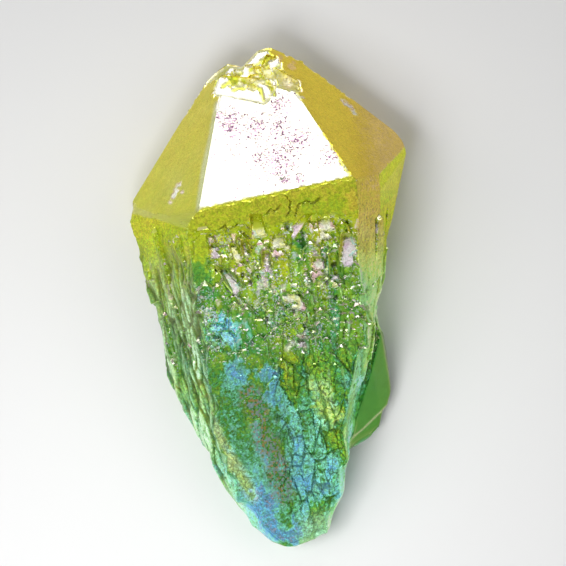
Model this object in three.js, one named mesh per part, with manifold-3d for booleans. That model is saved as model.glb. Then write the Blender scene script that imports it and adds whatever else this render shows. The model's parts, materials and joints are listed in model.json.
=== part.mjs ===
// A single natural quartz point, lying on the flat growth face of its back.
// Millimetres. The row frame is +Z up and +Y towards the tip, with its origin on the rest face.
// The crystal is modelled in its own frame first: +Y is the c-axis, towards the tip, +Z leaves
// the broad front prism face, and the c-axis crosses y = 0 at the front shoulder.
import * as THREE from "three";
import { ConvexGeometry } from "three/addons/geometries/ConvexGeometry.js";
import { mergeVertices } from "three/addons/utils/BufferGeometryUtils.js";
import Module from "manifold-3d";

// ---- Driving dimensions -------------------------------------------------------------------

const LIE_TILT_DEG = 11; // the c-axis rises by this towards the tip as the crystal lies
const REST_DEPTH = 9; // from the c-axis to the rest face, at the front shoulder
const ORIGIN_DOWN = 9.795; // from the shoulder down the rest face to the row origin
const ORIGIN_RIGHT = 1; // from the c-axis to the row origin
const RHOMB_DEG = 38.2; // quartz: a rhombohedral face leans this far from its prism face
const FACE_STEP_DEG = 60; // quartz: from one prism face to the next about the c-axis
const UNDER_REST = 0.3; // how far the back body runs under the rest face, to be cut flat by it
const FAR = 60; // farther from the c-axis than any of the crystal
const SEED = 20417;

// Cross-sections of the front body, from above the shoulder to the root, each a ring of seven
// corners. left, bevel, right: [x, z]. front: [left x, right x, z]. back: [left x, right x, how
// far above the rest face]. The back runs a little under the rest face, to be cut flat by it.
const BODY_RINGS = [
  {
    y: 26.0, front: [-8.2, 9.9, 8.6], bevel: [12.6, 5.2],
    right: [16.2, -2.6], back: [-10.4, 11.4, -0.3], left: [-14.1, -2.5],
  },
  {
    y: 3.4, front: [-8.2, 9.9, 8.6], bevel: [12.6, 5.2],
    right: [16.2, -2.6], back: [-10.4, 11.4, -0.3], left: [-14.1, -2.5],
  },
  {
    y: -0.4, front: [-8.2, 9.9, 8.6], bevel: [12.5, 5.2],
    right: [14.9, -2.3], back: [-10.2, 10.8, -0.3], left: [-14.2, -2.4],
  },
  {
    y: -2.5, front: [-8.2, 9.75, 8.6], bevel: [12.3, 5.1],
    right: [14.2, -2.2], back: [-10.0, 10.6, -0.3], left: [-13.95, -2.1],
  },
  {
    y: -3.1, front: [-8.15, 9.65, 8.3], bevel: [12.2, 5.1],
    right: [14.0, -2.2], back: [-10.0, 10.6, -0.3], left: [-13.85, -2.0],
  },
  {
    y: -5.4, front: [-8.15, 9.4, 8.2], bevel: [12.0, 5.0],
    right: [13.3, -2.0], back: [-9.8, 10.2, -0.3], left: [-13.5, -1.8],
  },
  {
    y: -9.5, front: [-8.0, 9.1, 8.0], bevel: [11.5, 4.8],
    right: [12.7, -1.6], back: [-9.4, 9.6, -0.3], left: [-12.7, -1.1],
  },
  {
    y: -12.4, front: [-7.6, 8.9, 7.75], bevel: [10.7, 4.6],
    right: [11.2, -0.9], back: [-9.1, 8.8, -0.3], left: [-12.3, -0.7],
  },
  {
    y: -16.5, front: [-7.45, 8.3, 7.3], bevel: [9.9, 4.4],
    right: [10.4, 0.2], back: [-8.6, 7.6, -0.3], left: [-11.7, -0.3],
  },
  {
    y: -22.0, front: [-7.3, 6.5, 6.3], bevel: [7.6, 4.2],
    right: [7.9, 1.4], back: [-7.4, 5.8, -0.2], left: [-10.4, 0.5],
  },
  {
    y: -28.0, front: [-6.3, 5.3, 5.3], bevel: [5.9, 3.7],
    right: [6.2, 2.1], back: [-5.4, 4.2, 0.5], left: [-8.3, 1.6],
  },
  {
    y: -33.0, front: [-4.4, 3.7, 4.3], bevel: [4.1, 3.4],
    right: [4.2, 2.3], back: [-3.5, 2.6, 1.5], left: [-5.7, 2.2],
  },
  {
    y: -35.6, front: [-2.9, 1.9, 3.6], bevel: [2.4, 3.1],
    right: [2.5, 2.4], back: [-2.2, 1.2, 2.3], left: [-4.0, 2.3],
  },
  {
    y: -36.8, front: [-2.0, -0.3, 3.0], bevel: [0.0, 2.7],
    right: [0.1, 2.4], back: [-1.7, -0.6, 3.0], left: [-2.5, 2.3],
  },
];

// The back body ends short of the root in a broken face, and its right flank is a smooth plane
// that stands out past the front body. Corners as [x, y, z]; floor corners as [x, y].
const BACK_BODY = {
  left: [
    [-12.4, 4, -2.4], [-12.3, -13, -1.8], [-12.4, -16.6, -1.7], [-11.8, -19.4, -1.4],
    [-9.4, -25.6, -0.6],
  ],
  leftTop: [[-9.5, 4, 3.6], [-9.8, -14, 3.2], [-8.9, -22, 2.8], [-7.6, -25.2, 2.4]],
  right: [
    [10.6, 4, -2.4], [11.6, -18.0, -2.5], [11.6, -22.2, -2.5], [10.4, -25.6, -2.4],
    [8.6, -26.8, -2.2],
  ],
  flankTop: [
    [9.6, 4, 3.0], [11.0, -15.2, 2.2], [9.5, -19.1, 2.9], [8.0, -22.1, 3.0],
    [6.2, -26.2, 3.0], [5.4, -27.8, 2.8],
  ],
  floor: [[-9.4, 4], [8.8, 4], [9.2, -21], [7.2, -24.2], [3.2, -25.4], [-6.6, -23.4], [-9.0, -17]],
};

// The six rhombohedral faces of the tip, each through three points [x, y, z] of its edges.
const TIP_FACES = {
  front: [[-6.64, -0.16, 8.6], [9.55, 1.35, 8.6], [-2.97, 12.08, -0.73]],
  left: [[-6.64, -0.16, 8.6], [-2.97, 12.08, -0.73], [-14.2, 0.9, -2.5]],
  right: [[9.55, 1.35, 8.6], [5.73, 9.66, 1.86], [15.4, 5.7, -3.6]],
  backLeft: [[-14.5, 0.9, -2.6], [-4.4, 13.9, -4.3], [-10.8, 0.6, -9.4]],
  backRight: [[14.55, 6.7, -4.3], [6.6, 15.4, -5.0], [11.5, 4.6, -10.8]],
  back: [[-2.5, 16.0, -4.9], [5.2, 16.0, -4.9], [0, 8.6, -10.7]],
};

// Chips and rounded edges of the tip: each a plane through a point, by its outward normal.
const TIP_CHIPS = [
  { at: [-2.5, 14.2, -2.8], normal: [-0.5, 0.8, 0.25] },
  { at: [2.5, 16.35, -3.7], normal: [-0.12, 0.95, 0.28] },
  { at: [4.3, 16.0, -3.8], normal: [0.36, 0.9, 0.2] },
  { at: [6.3, 15.1, -3.4], normal: [0.6, 0.78, 0.15] },
  { at: [15.5, 5.6, -3.0], normal: [0.82, 0.56, 0.1] },
  { at: [16.1, 4.4, -2.8], normal: [0.96, 0.26, 0.1] },
  { at: [-13.9, 1.2, -2.5], normal: [-0.9, 0.42, 0.06] },
];

// Scars broken out of the tip, each a wedge: its lowest corner on the front face, its two walls
// by the directions they face, its floor by normal and depth, and its upper end. None reaches
// farther left or right than SCAR_SPAN.
const TIP_SCARS = [
  {
    at: [1.66, 10.4, 0.65], walls: [[0.36, 0.93, -0.1], [-0.75, 0.66, 0.1]],
    floor: [-0.1, 0.56, 0.82], depth: 0.45, upper: [0.3, 0.95, 0], reach: 2.2,
  },
  {
    at: [-2.5, 12.5, -1.0], walls: [[-0.16, 0.98, 0.1], [0.98, 0.2, 0.1]],
    floor: [0.14, 0.62, 0.77], depth: 0.4, upper: [0.2, 0.95, 0], reach: 1.7,
  },
  {
    at: [3.4, 12.1, -0.8], walls: [[0.35, 0.93, 0.1], [0.96, 0.25, 0.1]],
    floor: [0.34, 0.6, 0.73], depth: 0.2, upper: [0.6, 0.8, 0], reach: 1.7,
  },
  {
    at: [-0.35, 14.5, -3.0], walls: [[0.35, 0.94, 0.2], [-0.66, 0.75, 0.1]],
    floor: [0, 0.6, 0.8], depth: 9, upper: [0, 1, 0], reach: 6,
  },
];
const SCAR_SPAN = { left: 9, right: 5.6 };

// Small chips all over the broken crest: how many, where, how wide, how deep, and how far each
// floor leans away from the front face of the tip (degrees). Then how many walls each one has,
// how unevenly they are spaced and placed, as shares, and how far they open outwards.
const CREST_CHIPS = {
  count: 24, x: [-2.0, 4.6], y: [12.3, 15.6], size: [0.5, 1.2], depth: [0.2, 0.6], lean: 20,
  walls: 5, spacing: [-0.3, 0.3], placing: [0.6, 1], opening: 0.3, height: 4,
};

// Etch slots in the front, each ending below in a bright facet that leans up towards the tip,
// on top of a low column. [x, y of the facet's middle, width, facet length, how far the floor
// reaches above the facet, lean of the slot in degrees]
const SLOTS = [
  [-0.8, -3.1, 1.4, 2.3, 0.2, 3],
  [1.2, -4.9, 1.5, 1.3, 0.1, 0],
  [3.5, -3.0, 0.7, 1.5, 0.1, -48],
  [5.2, -2.6, 0.9, 0.8, 0.1, -10],
  [6.3, -3.7, 1.6, 1.4, 0.1, 10],
  [8.4, -6.2, 1.7, 2.3, 0.1, -6],
  [5.0, -7.5, 1.25, 1.1, 0.1, 0],
  [6.6, -9.2, 0.9, 0.7, 2.2, 0],
  [-0.3, -6.4, 0.5, 1.4, 0.1, -5],
  [-3.3, -5.3, 0.8, 1.2, 0.3, 20],
  [-2.3, -5.1, 0.45, 1.4, 0.1, 8],
  [-4.0, -8.2, 1.1, 2.4, 0.1, 30],
  [-5.5, -4.8, 0.75, 0.45, 0.5, 0],
  [2.0, -10.8, 1.9, 0.9, 0.2, 14],
  [3.6, -8.7, 0.5, 0.8, 0.3, 0],
  [2.3, -15.7, 0.8, 0.7, 0.4, 0],
  [-6.2, -12.9, 1.6, 0.9, 0.1, 10],
  [-7.0, -14.0, 1.2, 0.7, 0.1, -20],
  [-5.2, -13.8, 1.3, 0.9, 0.1, 25],
];
// How much wider the column is, how high, how steeply it sinks (degrees) as a blade does, and
// how far below the facet it starts.
const COLUMN = { widening: 1.15, height: 0.35, sink: 6, gap: 0.2 };
// How deep the facet starts under the surface, the slopes of the floor and of the upper and side
// walls, how the slot narrows downwards, and how far it is open above the surface.
const SLOT_FACET_DEG = 21; // from the front prism face
const SLOT_CUT = {
  inset: 0.15, floor: 0.1, upper: [0.12, -0.35], side: -0.2, narrowing: 0.08, open: 2,
};

// Growth blades, by where they grow: how many; where their middles lie, by x or by the angle
// about the c-axis (0 front, 90 right), and by y; how wide, and how high at the top; how steeply
// each one sinks back into the face below it; and how far it may lean to a side (degrees).
const BLADES = {
  frontBand: {
    count: 5, x: [-7.4, 8.0], y: [-3.4, -2.6],
    width: [2.6, 4.6], height: [0.2, 0.3], sink: [9, 14], roll: 6,
  },
  frontHillocks: {
    count: 62, x: [-7.4, 8.6], y: [-15.0, -4.0],
    width: [0.9, 2.3], height: [0.25, 0.75], sink: [8, 16], roll: 8,
  },
  frontLowerLeft: {
    count: 20, x: [-7.0, 0.0], y: [-31, -15],
    width: [1.8, 3.4], height: [0.15, 0.4], sink: [4, 8], roll: 10,
  },
  frontLowerRight: {
    count: 36, x: [-0.2, 6.6], y: [-32, -15],
    width: [0.9, 1.8], height: [0.2, 0.5], sink: [5, 9], roll: 5,
  },
  root: {
    count: 12, x: [-3.6, 2.6], y: [-35.4, -31],
    width: [0.9, 1.6], height: [0.2, 0.45], sink: [6, 12], roll: 8,
  },
  leftFace: {
    count: 40, angle: [-108, -50], y: [-32, -3.5],
    width: [0.6, 1.3], height: [0.15, 0.5], sink: [2.5, 5], roll: 4,
  },
  rightFace: {
    count: 16, angle: [52, 100], y: [-26, -5],
    width: [0.6, 1.5], height: [0.12, 0.35], sink: [2.5, 5], roll: 4,
  },
  backRightFaces: {
    count: 8, angle: [112, 150], y: [-22, -2],
    width: [0.7, 1.6], height: [0.1, 0.3], sink: [1.5, 4], roll: 3,
  },
  backLeftFaces: {
    count: 8, angle: [-150, -112], y: [-22, -2],
    width: [0.7, 1.6], height: [0.1, 0.3], sink: [1.5, 4], roll: 3,
  },
};
const BLADE_LONGEST = { shoulder: 9.5, root: 3.2 };
const ROOT_Y = -36;
// How deep a blade is rooted in the face it grows from, how far its foot runs on below it, how
// its sides narrow towards the top and lean inwards, and how wide its top face is, as a share.
const BLADE_SHAPE = { rooted: 1.6, foot: 0.2, narrowing: 0.06, flare: 0.3, topShare: 0.3 };

// Rounded lumps about the broken root: [x, y, z, radius]
const ROOT_LUMPS = [
  [-1.2, -35.7, 2.2, 1.35],
  [0.9, -35.0, 2.3, 1.4],
  [-2.7, -35.0, 2.1, 1.3],
  [2.3, -33.6, 2.4, 1.4],
  [-4.2, -33.4, 2.0, 1.4],
];

// ---- Helpers ------------------------------------------------------------------------------

const wasm = await Module();
wasm.setup();

// The same sequence of random numbers on every run.
let randomState = SEED;
function random() {
  randomState = (randomState + 0x6d2b79f5) | 0;
  let t = Math.imul(randomState ^ (randomState >>> 15), 1 | randomState);
  t = (t + Math.imul(t ^ (t >>> 7), 61 | t)) ^ t;
  return ((t ^ (t >>> 14)) >>> 0) / 4294967296;
}
const between = ([low, high]) => low + (high - low) * random();
const degrees = THREE.MathUtils.degToRad;
const vec = (p) => new THREE.Vector3(...p);

function solidOf(geometry) {
  const bare = geometry.clone();
  bare.deleteAttribute("normal");
  bare.deleteAttribute("uv");
  const merged = mergeVertices(bare, 1e-4);
  const mesh = new wasm.Mesh({
    numProp: 3,
    vertProperties: merged.attributes.position.array,
    triVerts: new Uint32Array(merged.index.array),
  });
  return new wasm.Manifold(mesh);
}

function geometryOf(solid) {
  const mesh = solid.getMesh();
  const geometry = new THREE.BufferGeometry();
  geometry.setAttribute("position", new THREE.BufferAttribute(mesh.vertProperties, 3));
  geometry.setIndex(new THREE.BufferAttribute(mesh.triVerts, 1));
  return geometry;
}

const joined = (solids) => solids.reduce((sum, solid) => sum.add(solid));

// A half space as { normal, offset }: the points p with normal . p <= offset.
function halfSpace(normal, point) {
  const unit = normal.clone().normalize();
  return { normal: unit, offset: unit.dot(point) };
}

function halfSpaceThrough(corners, inside) {
  const plane = new THREE.Plane().setFromCoplanarPoints(...corners.map(vec));
  if (plane.distanceToPoint(inside) > 0) plane.negate();
  return { normal: plane.normal, offset: -plane.constant };
}

// The convex shape shared by all the half spaces, or null where they share nothing.
function convexInside(spaces) {
  const corners = [];
  const isInside = (p) => spaces.every((s) => s.normal.dot(p) <= s.offset + 1e-6);
  for (let i = 0; i < spaces.length; i++) {
    for (let j = i + 1; j < spaces.length; j++) {
      for (let k = j + 1; k < spaces.length; k++) {
        const three = [spaces[i], spaces[j], spaces[k]];
        const rows = new THREE.Matrix3().set(...three.flatMap((s) => s.normal.toArray()));
        if (Math.abs(rows.determinant()) < 1e-4) continue;
        const offsets = new THREE.Vector3(...three.map((s) => s.offset));
        const corner = offsets.applyMatrix3(rows.invert());
        const isNew = corners.every((c) => c.distanceTo(corner) > 1e-3);
        if (isNew && isInside(corner)) corners.push(corner);
      }
    }
  }
  return corners.length < 4 ? null : new ConvexGeometry(corners);
}

// The outward directions of the prism face, of a face that leans from it towards the tip, and of
// the rhombohedral face, at an angle about the c-axis in degrees: 0 is the front, 90 the right.
const prismNormal = (angle) =>
  new THREE.Vector3(Math.sin(degrees(angle)), 0, Math.cos(degrees(angle)));
const leaningNormal = (angle, lean) =>
  prismNormal(angle)
    .multiplyScalar(Math.cos(degrees(lean)))
    .setY(Math.sin(degrees(lean)));
const rhombNormal = (angle) => leaningNormal(angle, RHOMB_DEG);

// ---- The body -----------------------------------------------------------------------------

const restZ = (y) => -REST_DEPTH - Math.tan(degrees(LIE_TILT_DEG)) * y;

function ringCorners({ y, front, bevel, right, back, left }) {
  const backZ = restZ(y) + back[2];
  return [
    [front[0], y, front[2]],
    [front[1], y, front[2]],
    [bevel[0], y, bevel[1]],
    [right[0], y, right[1]],
    [back[1], y, backZ],
    [back[0], y, backZ],
    [left[0], y, left[1]],
  ];
}

// A closed skin over the rings, from above the shoulder down to the root.
function bodySkin() {
  const rings = BODY_RINGS.map(ringCorners);
  const count = rings[0].length;
  const indices = [];
  for (let r = 0; r + 1 < rings.length; r++) {
    for (let i = 0; i < count; i++) {
      const next = (i + 1) % count;
      const upper = r * count;
      const lower = upper + count;
      indices.push(upper + i, lower + i, upper + next);
      indices.push(upper + next, lower + i, lower + next);
    }
  }
  const last = (rings.length - 1) * count;
  for (let i = 1; i + 1 < count; i++) {
    indices.push(0, i, i + 1);
    indices.push(last, last + i + 1, last + i);
  }
  const geometry = new THREE.BufferGeometry();
  geometry.setAttribute("position", new THREE.Float32BufferAttribute(rings.flat(2), 3));
  geometry.setIndex(indices);
  return geometry;
}

function backBody() {
  const floor = BACK_BODY.floor.map(([x, y]) => [x, y, restZ(y) - UNDER_REST]);
  const { left, leftTop, right, flankTop } = BACK_BODY;
  return new ConvexGeometry([left, leftTop, right, flankTop, floor].flat().map(vec));
}

// Everything inside the six faces of the tip and its chips.
function tipEnvelope() {
  const inside = new THREE.Vector3(0, -10, 0);
  const faces = Object.values(TIP_FACES).map((corners) => halfSpaceThrough(corners, inside));
  const chips = TIP_CHIPS.map((chip) => halfSpace(vec(chip.normal), vec(chip.at)));
  const outwards = [[1, 0, 0], [-1, 0, 0], [0, -1, 0], [0, 0, 1], [0, 0, -1]].map(vec);
  const walls = outwards.map((out) => halfSpace(out, out.clone().multiplyScalar(FAR)));
  return convexInside([...faces, ...chips, ...walls]);
}

function tipScar({ at, walls, floor, depth, upper, reach }) {
  const corner = vec(at);
  const deepest = corner.clone().addScaledVector(vec(floor).normalize(), -depth);
  const sides = [[SCAR_SPAN.right, 0, 0], [-SCAR_SPAN.left, 0, 0]].map(vec);
  return convexInside([
    ...walls.map((wall) => halfSpace(vec(wall).negate(), corner)),
    ...sides.map((end) => halfSpace(end, end)),
    halfSpace(vec(floor).negate(), deepest),
    halfSpace(vec(upper), corner.clone().addScaledVector(vec(upper), reach)),
    halfSpace(new THREE.Vector3(0, 0, 1), new THREE.Vector3(0, 0, FAR)),
  ]);
}

// ---- Growth relief ------------------------------------------------------------------------

// Finds where a ray from outside first meets the body, if it does.
function surfaceFinder(geometry) {
  const mesh = new THREE.Mesh(geometry, new THREE.MeshBasicMaterial({ side: THREE.DoubleSide }));
  const ray = new THREE.Raycaster();
  return (from, inwards) => {
    ray.set(from, inwards);
    const hit = ray.intersectObject(mesh)[0];
    return hit && { point: hit.point, normal: hit.face.normal.clone() };
  };
}

// A small crystal standing out of the face it grew on: it is highest at its top, which is cut
// by faces parallel to those of the big tip, and it sinks back into the face below.
function blade(point, normal, { width, height, sink, roll }) {
  const out = normal.clone();
  const up = new THREE.Vector3(0, 1, 0).addScaledVector(out, -out.y).normalize();
  up.applyAxisAngle(out, roll);
  const across = new THREE.Vector3().crossVectors(up, out);
  const at = (x, y, z) =>
    point.clone().addScaledVector(across, x).addScaledVector(up, y).addScaledVector(out, z);
  const toward = (x, y, z) => at(x, y, z).sub(point);
  const about = THREE.MathUtils.radToDeg(Math.atan2(out.x, out.z));
  const angle = FACE_STEP_DEG * Math.round(about / FACE_STEP_DEG);
  const { shoulder, root } = BLADE_LONGEST;
  const longest = THREE.MathUtils.mapLinear(point.y, 0, ROOT_Y, shoulder, root);
  const length = Math.min(longest, height / Math.tan(sink));
  const slope = Math.atan(height / length);
  const { rooted, foot, narrowing, flare, topShare } = BLADE_SHAPE;
  const [half, top] = [width / 2, length / 2];
  return convexInside([
    halfSpace(toward(0, -Math.sin(slope), Math.cos(slope)), at(0, top, height)),
    halfSpace(toward(1, narrowing, flare), at(half, 0, height)),
    halfSpace(toward(-1, narrowing, flare), at(-half, 0, height)),
    halfSpace(rhombNormal(angle), at(0, top, height)),
    halfSpace(rhombNormal(angle + FACE_STEP_DEG), at(half * topShare, top, height)),
    halfSpace(rhombNormal(angle - FACE_STEP_DEG), at(-half * topShare, top, height)),
    halfSpace(toward(0, -1, 0), at(0, -top - foot, 0)),
    halfSpace(toward(0, 0, -1), at(0, 0, -rooted)),
  ]);
}

function bladesOf(family, find) {
  const solids = [];
  for (let i = 0; i < family.count; i++) {
    const y = between(family.y);
    const size = {
      width: between(family.width),
      height: between(family.height),
      sink: degrees(between(family.sink)),
      roll: degrees(between([-family.roll, family.roll])),
    };
    const inwards = prismNormal(family.angle ? between(family.angle) : 0).negate();
    const from = inwards.clone().multiplyScalar(-FAR).setY(y);
    if (family.x) from.setX(between(family.x));
    const seat = find(from, inwards);
    const shape = seat && blade(seat.point, seat.normal, size);
    if (shape) solids.push(solidOf(shape));
  }
  return solids;
}

// A slot etched into the front. Its lower wall is a facet that sinks towards the tip, from the
// surface at its lower end down to the floor; its upper wall is steep.
function slot([x, y, width, length, reach, lean], find) {
  const { inset, floor, upper, side, narrowing, open } = SLOT_CUT;
  const { point } = find(new THREE.Vector3(x, y, FAR), new THREE.Vector3(0, 0, -1));
  const at = (dx, dy, dz) => new THREE.Vector3(x + dx, y + dy, point.z + dz);
  const depth = length * Math.tan(degrees(SLOT_FACET_DEG));
  const turn = new THREE.Matrix4().makeRotationZ(degrees(lean));
  const wall = (sign) => new THREE.Vector3(sign, narrowing, side).applyMatrix4(turn);
  const across = new THREE.Vector3(width / 2, 0, 0).applyMatrix4(turn);
  return convexInside([
    halfSpace(leaningNormal(0, SLOT_FACET_DEG).negate(), at(0, -length / 2, inset)),
    halfSpace(new THREE.Vector3(0, floor, -1), at(0, length / 2, -depth)),
    halfSpace(new THREE.Vector3(upper[0], 1, upper[1]), at(0, length / 2 + reach, -depth)),
    halfSpace(wall(1), at(across.x, across.y, 0)),
    halfSpace(wall(-1), at(-across.x, -across.y, 0)),
    halfSpace(new THREE.Vector3(0, 0, 1), at(0, 0, open)),
  ]);
}

// The column whose top is the slot's facet.
function columnBelow([x, y, width, length], find) {
  const { widening, height, sink, gap } = COLUMN;
  const size = { width: width * widening, height, sink: degrees(sink), roll: 0 };
  const reach = size.height / Math.tan(size.sink) / 2;
  const middle = new THREE.Vector3(x, y - length / 2 - reach - gap, FAR);
  const { point, normal } = find(middle, new THREE.Vector3(0, 0, -1));
  return blade(point, normal, size);
}

function rootLump([x, y, z, radius]) {
  const rough = new THREE.IcosahedronGeometry(radius, 1);
  return solidOf(rough.rotateY(x).rotateX(z).translate(x, y, z));
}

// A shallow many-sided pit with a flat, leaning floor, broken out of the crest.
function crestChip() {
  const front = halfSpaceThrough(TIP_FACES.front, new THREE.Vector3(0, -10, 0));
  const [x, y] = [between(CREST_CHIPS.x), between(CREST_CHIPS.y)];
  const z = (front.offset - front.normal.x * x - front.normal.y * y) / front.normal.z;
  const middle = new THREE.Vector3(x, y, z);
  const lean = () => Math.tan(degrees(between([-CREST_CHIPS.lean, CREST_CHIPS.lean])));
  const floor = front.normal.clone().add(new THREE.Vector3(lean(), lean(), 0)).normalize();
  const { walls, spacing, placing, opening, height } = CREST_CHIPS;
  const size = between(CREST_CHIPS.size);
  const deepest = middle.clone().addScaledVector(floor, -between(CREST_CHIPS.depth));
  const spaces = [
    halfSpace(floor.clone().negate(), deepest),
    halfSpace(new THREE.Vector3(0, 0, 1), middle.clone().setZ(z + height)),
  ];
  for (let wall = 0; wall < walls; wall++) {
    const turn = ((wall + between(spacing)) * 2 * Math.PI) / walls;
    const out = new THREE.Vector3(Math.cos(turn), Math.sin(turn), -opening);
    spaces.push(halfSpace(out, middle.clone().addScaledVector(out, size * between(placing))));
  }
  return solidOf(convexInside(spaces));
}

// ---- Putting it together ------------------------------------------------------------------

function crystalSolid() {
  const skin = bodySkin();
  const find = surfaceFinder(skin);
  const blades = Object.values(BLADES).flatMap((family) => bladesOf(family, find));
  const lumps = ROOT_LUMPS.map(rootLump);
  const columns = SLOTS.map((measures) => solidOf(columnBelow(measures, find)));
  const grown = joined([solidOf(skin), solidOf(backBody()), ...blades, ...columns, ...lumps]);
  const slots = SLOTS.map((measures) => solidOf(slot(measures, find)));
  const scars = TIP_SCARS.map((scar) => solidOf(tipScar(scar)));
  const cut = grown.intersect(solidOf(tipEnvelope()));
  const chips = Array.from({ length: CREST_CHIPS.count }, crestChip);
  return cut.subtract(joined([...slots, ...scars, ...chips]));
}

// Lies the crystal on its back, and cuts that face flat.
function laidDown(solid) {
  const tilt = degrees(LIE_TILT_DEG);
  const lie = new THREE.Matrix4().makeRotationX(tilt);
  lie.setPosition(-ORIGIN_RIGHT, ORIGIN_DOWN, REST_DEPTH * Math.cos(tilt));
  const aboveTable = new THREE.BoxGeometry(2 * FAR, 2 * FAR, FAR).translate(0, 0, FAR / 2);
  return solidOf(geometryOf(solid).applyMatrix4(lie)).intersect(solidOf(aboveTable));
}

const quartz = new THREE.MeshStandardMaterial({ color: 0x8aa83a, roughness: 0.2, metalness: 0.1 });
const crystal = new THREE.Mesh(geometryOf(laidDown(crystalSolid())), quartz);
crystal.name = "crystal_point";

const part = new THREE.Group();
part.add(crystal);

export default part;
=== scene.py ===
"""Aura quartz crystal: its fine surface, its coated and see-through material, light and camera.

Lengths are metres in Blender and millimetres in the tables and patterns below. Patterns are
laid out in the crystal's own frame: +Y along the c-axis towards the tip, +Z out of the broad
front prism face, y = 0 at the front shoulder. smooth(a, b, v) rises from 0 where v is a to 1 where
v is b, and every noise and cell pattern has a seed of its own.
"""

import functools
import itertools
import json
import math
from types import SimpleNamespace

import bmesh
import bpy
import numpy as np
from mathutils import Matrix, Vector, geometry

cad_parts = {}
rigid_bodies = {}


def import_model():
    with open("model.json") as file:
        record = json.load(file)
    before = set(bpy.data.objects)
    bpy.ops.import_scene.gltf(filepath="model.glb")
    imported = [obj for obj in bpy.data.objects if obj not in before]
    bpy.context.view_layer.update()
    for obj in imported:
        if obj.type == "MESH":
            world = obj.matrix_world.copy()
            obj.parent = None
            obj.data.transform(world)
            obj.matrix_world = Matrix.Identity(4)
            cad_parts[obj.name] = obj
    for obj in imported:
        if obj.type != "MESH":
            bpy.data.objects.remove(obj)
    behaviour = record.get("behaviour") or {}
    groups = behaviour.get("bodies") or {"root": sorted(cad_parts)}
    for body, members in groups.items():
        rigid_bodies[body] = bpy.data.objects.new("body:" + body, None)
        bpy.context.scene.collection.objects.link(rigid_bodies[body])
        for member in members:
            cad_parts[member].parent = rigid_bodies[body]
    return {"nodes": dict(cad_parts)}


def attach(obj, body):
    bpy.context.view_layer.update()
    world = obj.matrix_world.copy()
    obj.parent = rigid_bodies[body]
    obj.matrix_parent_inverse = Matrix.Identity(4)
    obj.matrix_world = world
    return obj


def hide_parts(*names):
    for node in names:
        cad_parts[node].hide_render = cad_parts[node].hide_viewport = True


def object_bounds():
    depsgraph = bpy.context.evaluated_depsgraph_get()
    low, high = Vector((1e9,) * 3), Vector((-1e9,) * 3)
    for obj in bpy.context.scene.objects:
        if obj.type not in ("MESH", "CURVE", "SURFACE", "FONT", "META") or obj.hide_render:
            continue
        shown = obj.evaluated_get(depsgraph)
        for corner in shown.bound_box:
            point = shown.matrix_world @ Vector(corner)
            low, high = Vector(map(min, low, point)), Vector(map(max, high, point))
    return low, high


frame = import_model()
cad_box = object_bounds()

# ---- Named values: the frame, the mesh, the view ----

NODE = "crystal_point"
MM = 0.001

# The crystal's frame in the row frame, as in the part's source.
LIE_TILT = math.radians(11)
REST_DEPTH = 9.0
ORIGIN_DOWN = 9.795
ORIGIN_RIGHT = 1.0
RHOMB = math.radians(38.2)

# Spacing of the fine mesh, in mm, by which way a face looks.
SPACING = {"front": 0.135, "tip": 0.34, "crest": 0.17, "face": 0.2, "side": 0.2, "back": 0.6,
           "rest": 1.2}
GRID_SHAKE = 0.12
RIM_CLEARANCE = 0.62
MESH_SEED = 7
FACE_SEED = 11
FLAT_ANGLE = math.radians(0.6)
SHARP_DEG = 24

# Camera: aimed at this point of the crystal, from this azimuth, elevation and distance.
AIM = (1.11, -8.83, 8.2)
AZIMUTH = math.radians(-7)
ELEVATION = math.radians(79)
DISTANCE = 300.0
VIEW_WIDTH = 58.86
SENSOR = 36.0
CLIP_START = 0.01

# Soft square lights: name, azimuth, elevation, distance and size in metres, radiance, and use.
PANELS = [
    ("tip_window", 178.5, 24.7, 0.5, 0.5, 7, "gloss"),
    ("tip_side", 177.4, 59.0, 0.6, 0.26, 0.35, "all"),
    ("left_side", 280, 50, 0.6, 0.35, 2.0, "all"),
    ("right_side", 75, 50, 0.6, 0.35, 1.25, "all"),
    ("root_fill", 325, 60, 0.115, 0.05, 13, "diffuse"),
]
LIT_HEIGHT = 0.01
WORLD_LIGHT = 0.23
FLOOR_HALF = 0.8
FLOOR_TONE = (0.82, 0.82, 0.82, 1)

# ---- Named values: places on the crystal, in mm ----

# The front, left and right faces of the tip, by their outward directions.
BIG_TIP_FACES = [np.array(v) / np.linalg.norm(v)
                 for v in [(-0.06, 0.62, 0.79), (-0.65, 0.57, 0.50), (0.56, 0.66, 0.50)]]
FRONT_TIP, LEFT_TIP, RIGHT_TIP = BIG_TIP_FACES
SAME_FACE = (0.985, 0.995)
CREST_FROM = 10.0
RIBBED_COLUMN = 7.4

# Lines on the surface, as [x, y] seen along z.
TIP_LEFT_EDGE = [(-6.7, -0.3), (-5.6, 4.2), (-4.6, 7.0), (-3.4, 11.0)]
LEFT_SHOULDER = [(-14.0, 0.8), (-12.6, 0.1), (-11.2, -0.5), (-9.8, -1.1), (-8.7, -1.7)]
FLAKE_RIM = [(5.2, -27.0), (7.9, -25.4), (10.3, -23.8), (13.6, -21.6)]
WORN_EDGES = [[(5.35, 11.8), (9.4, 1.2)], [(-7.1, -0.25), (9.4, 1.25)]]
BAND_CRACKS = [[(-4.8, -2.5), (-4.2, -2.2), (-3.7, -2.6), (-3.1, -2.3)],
               [(0.3, -1.5), (0.8, -1.0), (1.2, -1.3), (1.7, -0.9)],
               [(2.4, 0.2), (2.7, -0.7), (2.5, -1.8)],
               [(3.4, -1.9), (3.7, -0.9), (4.5, -0.6), (5.4, -0.9), (6.0, -0.4)]]
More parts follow.
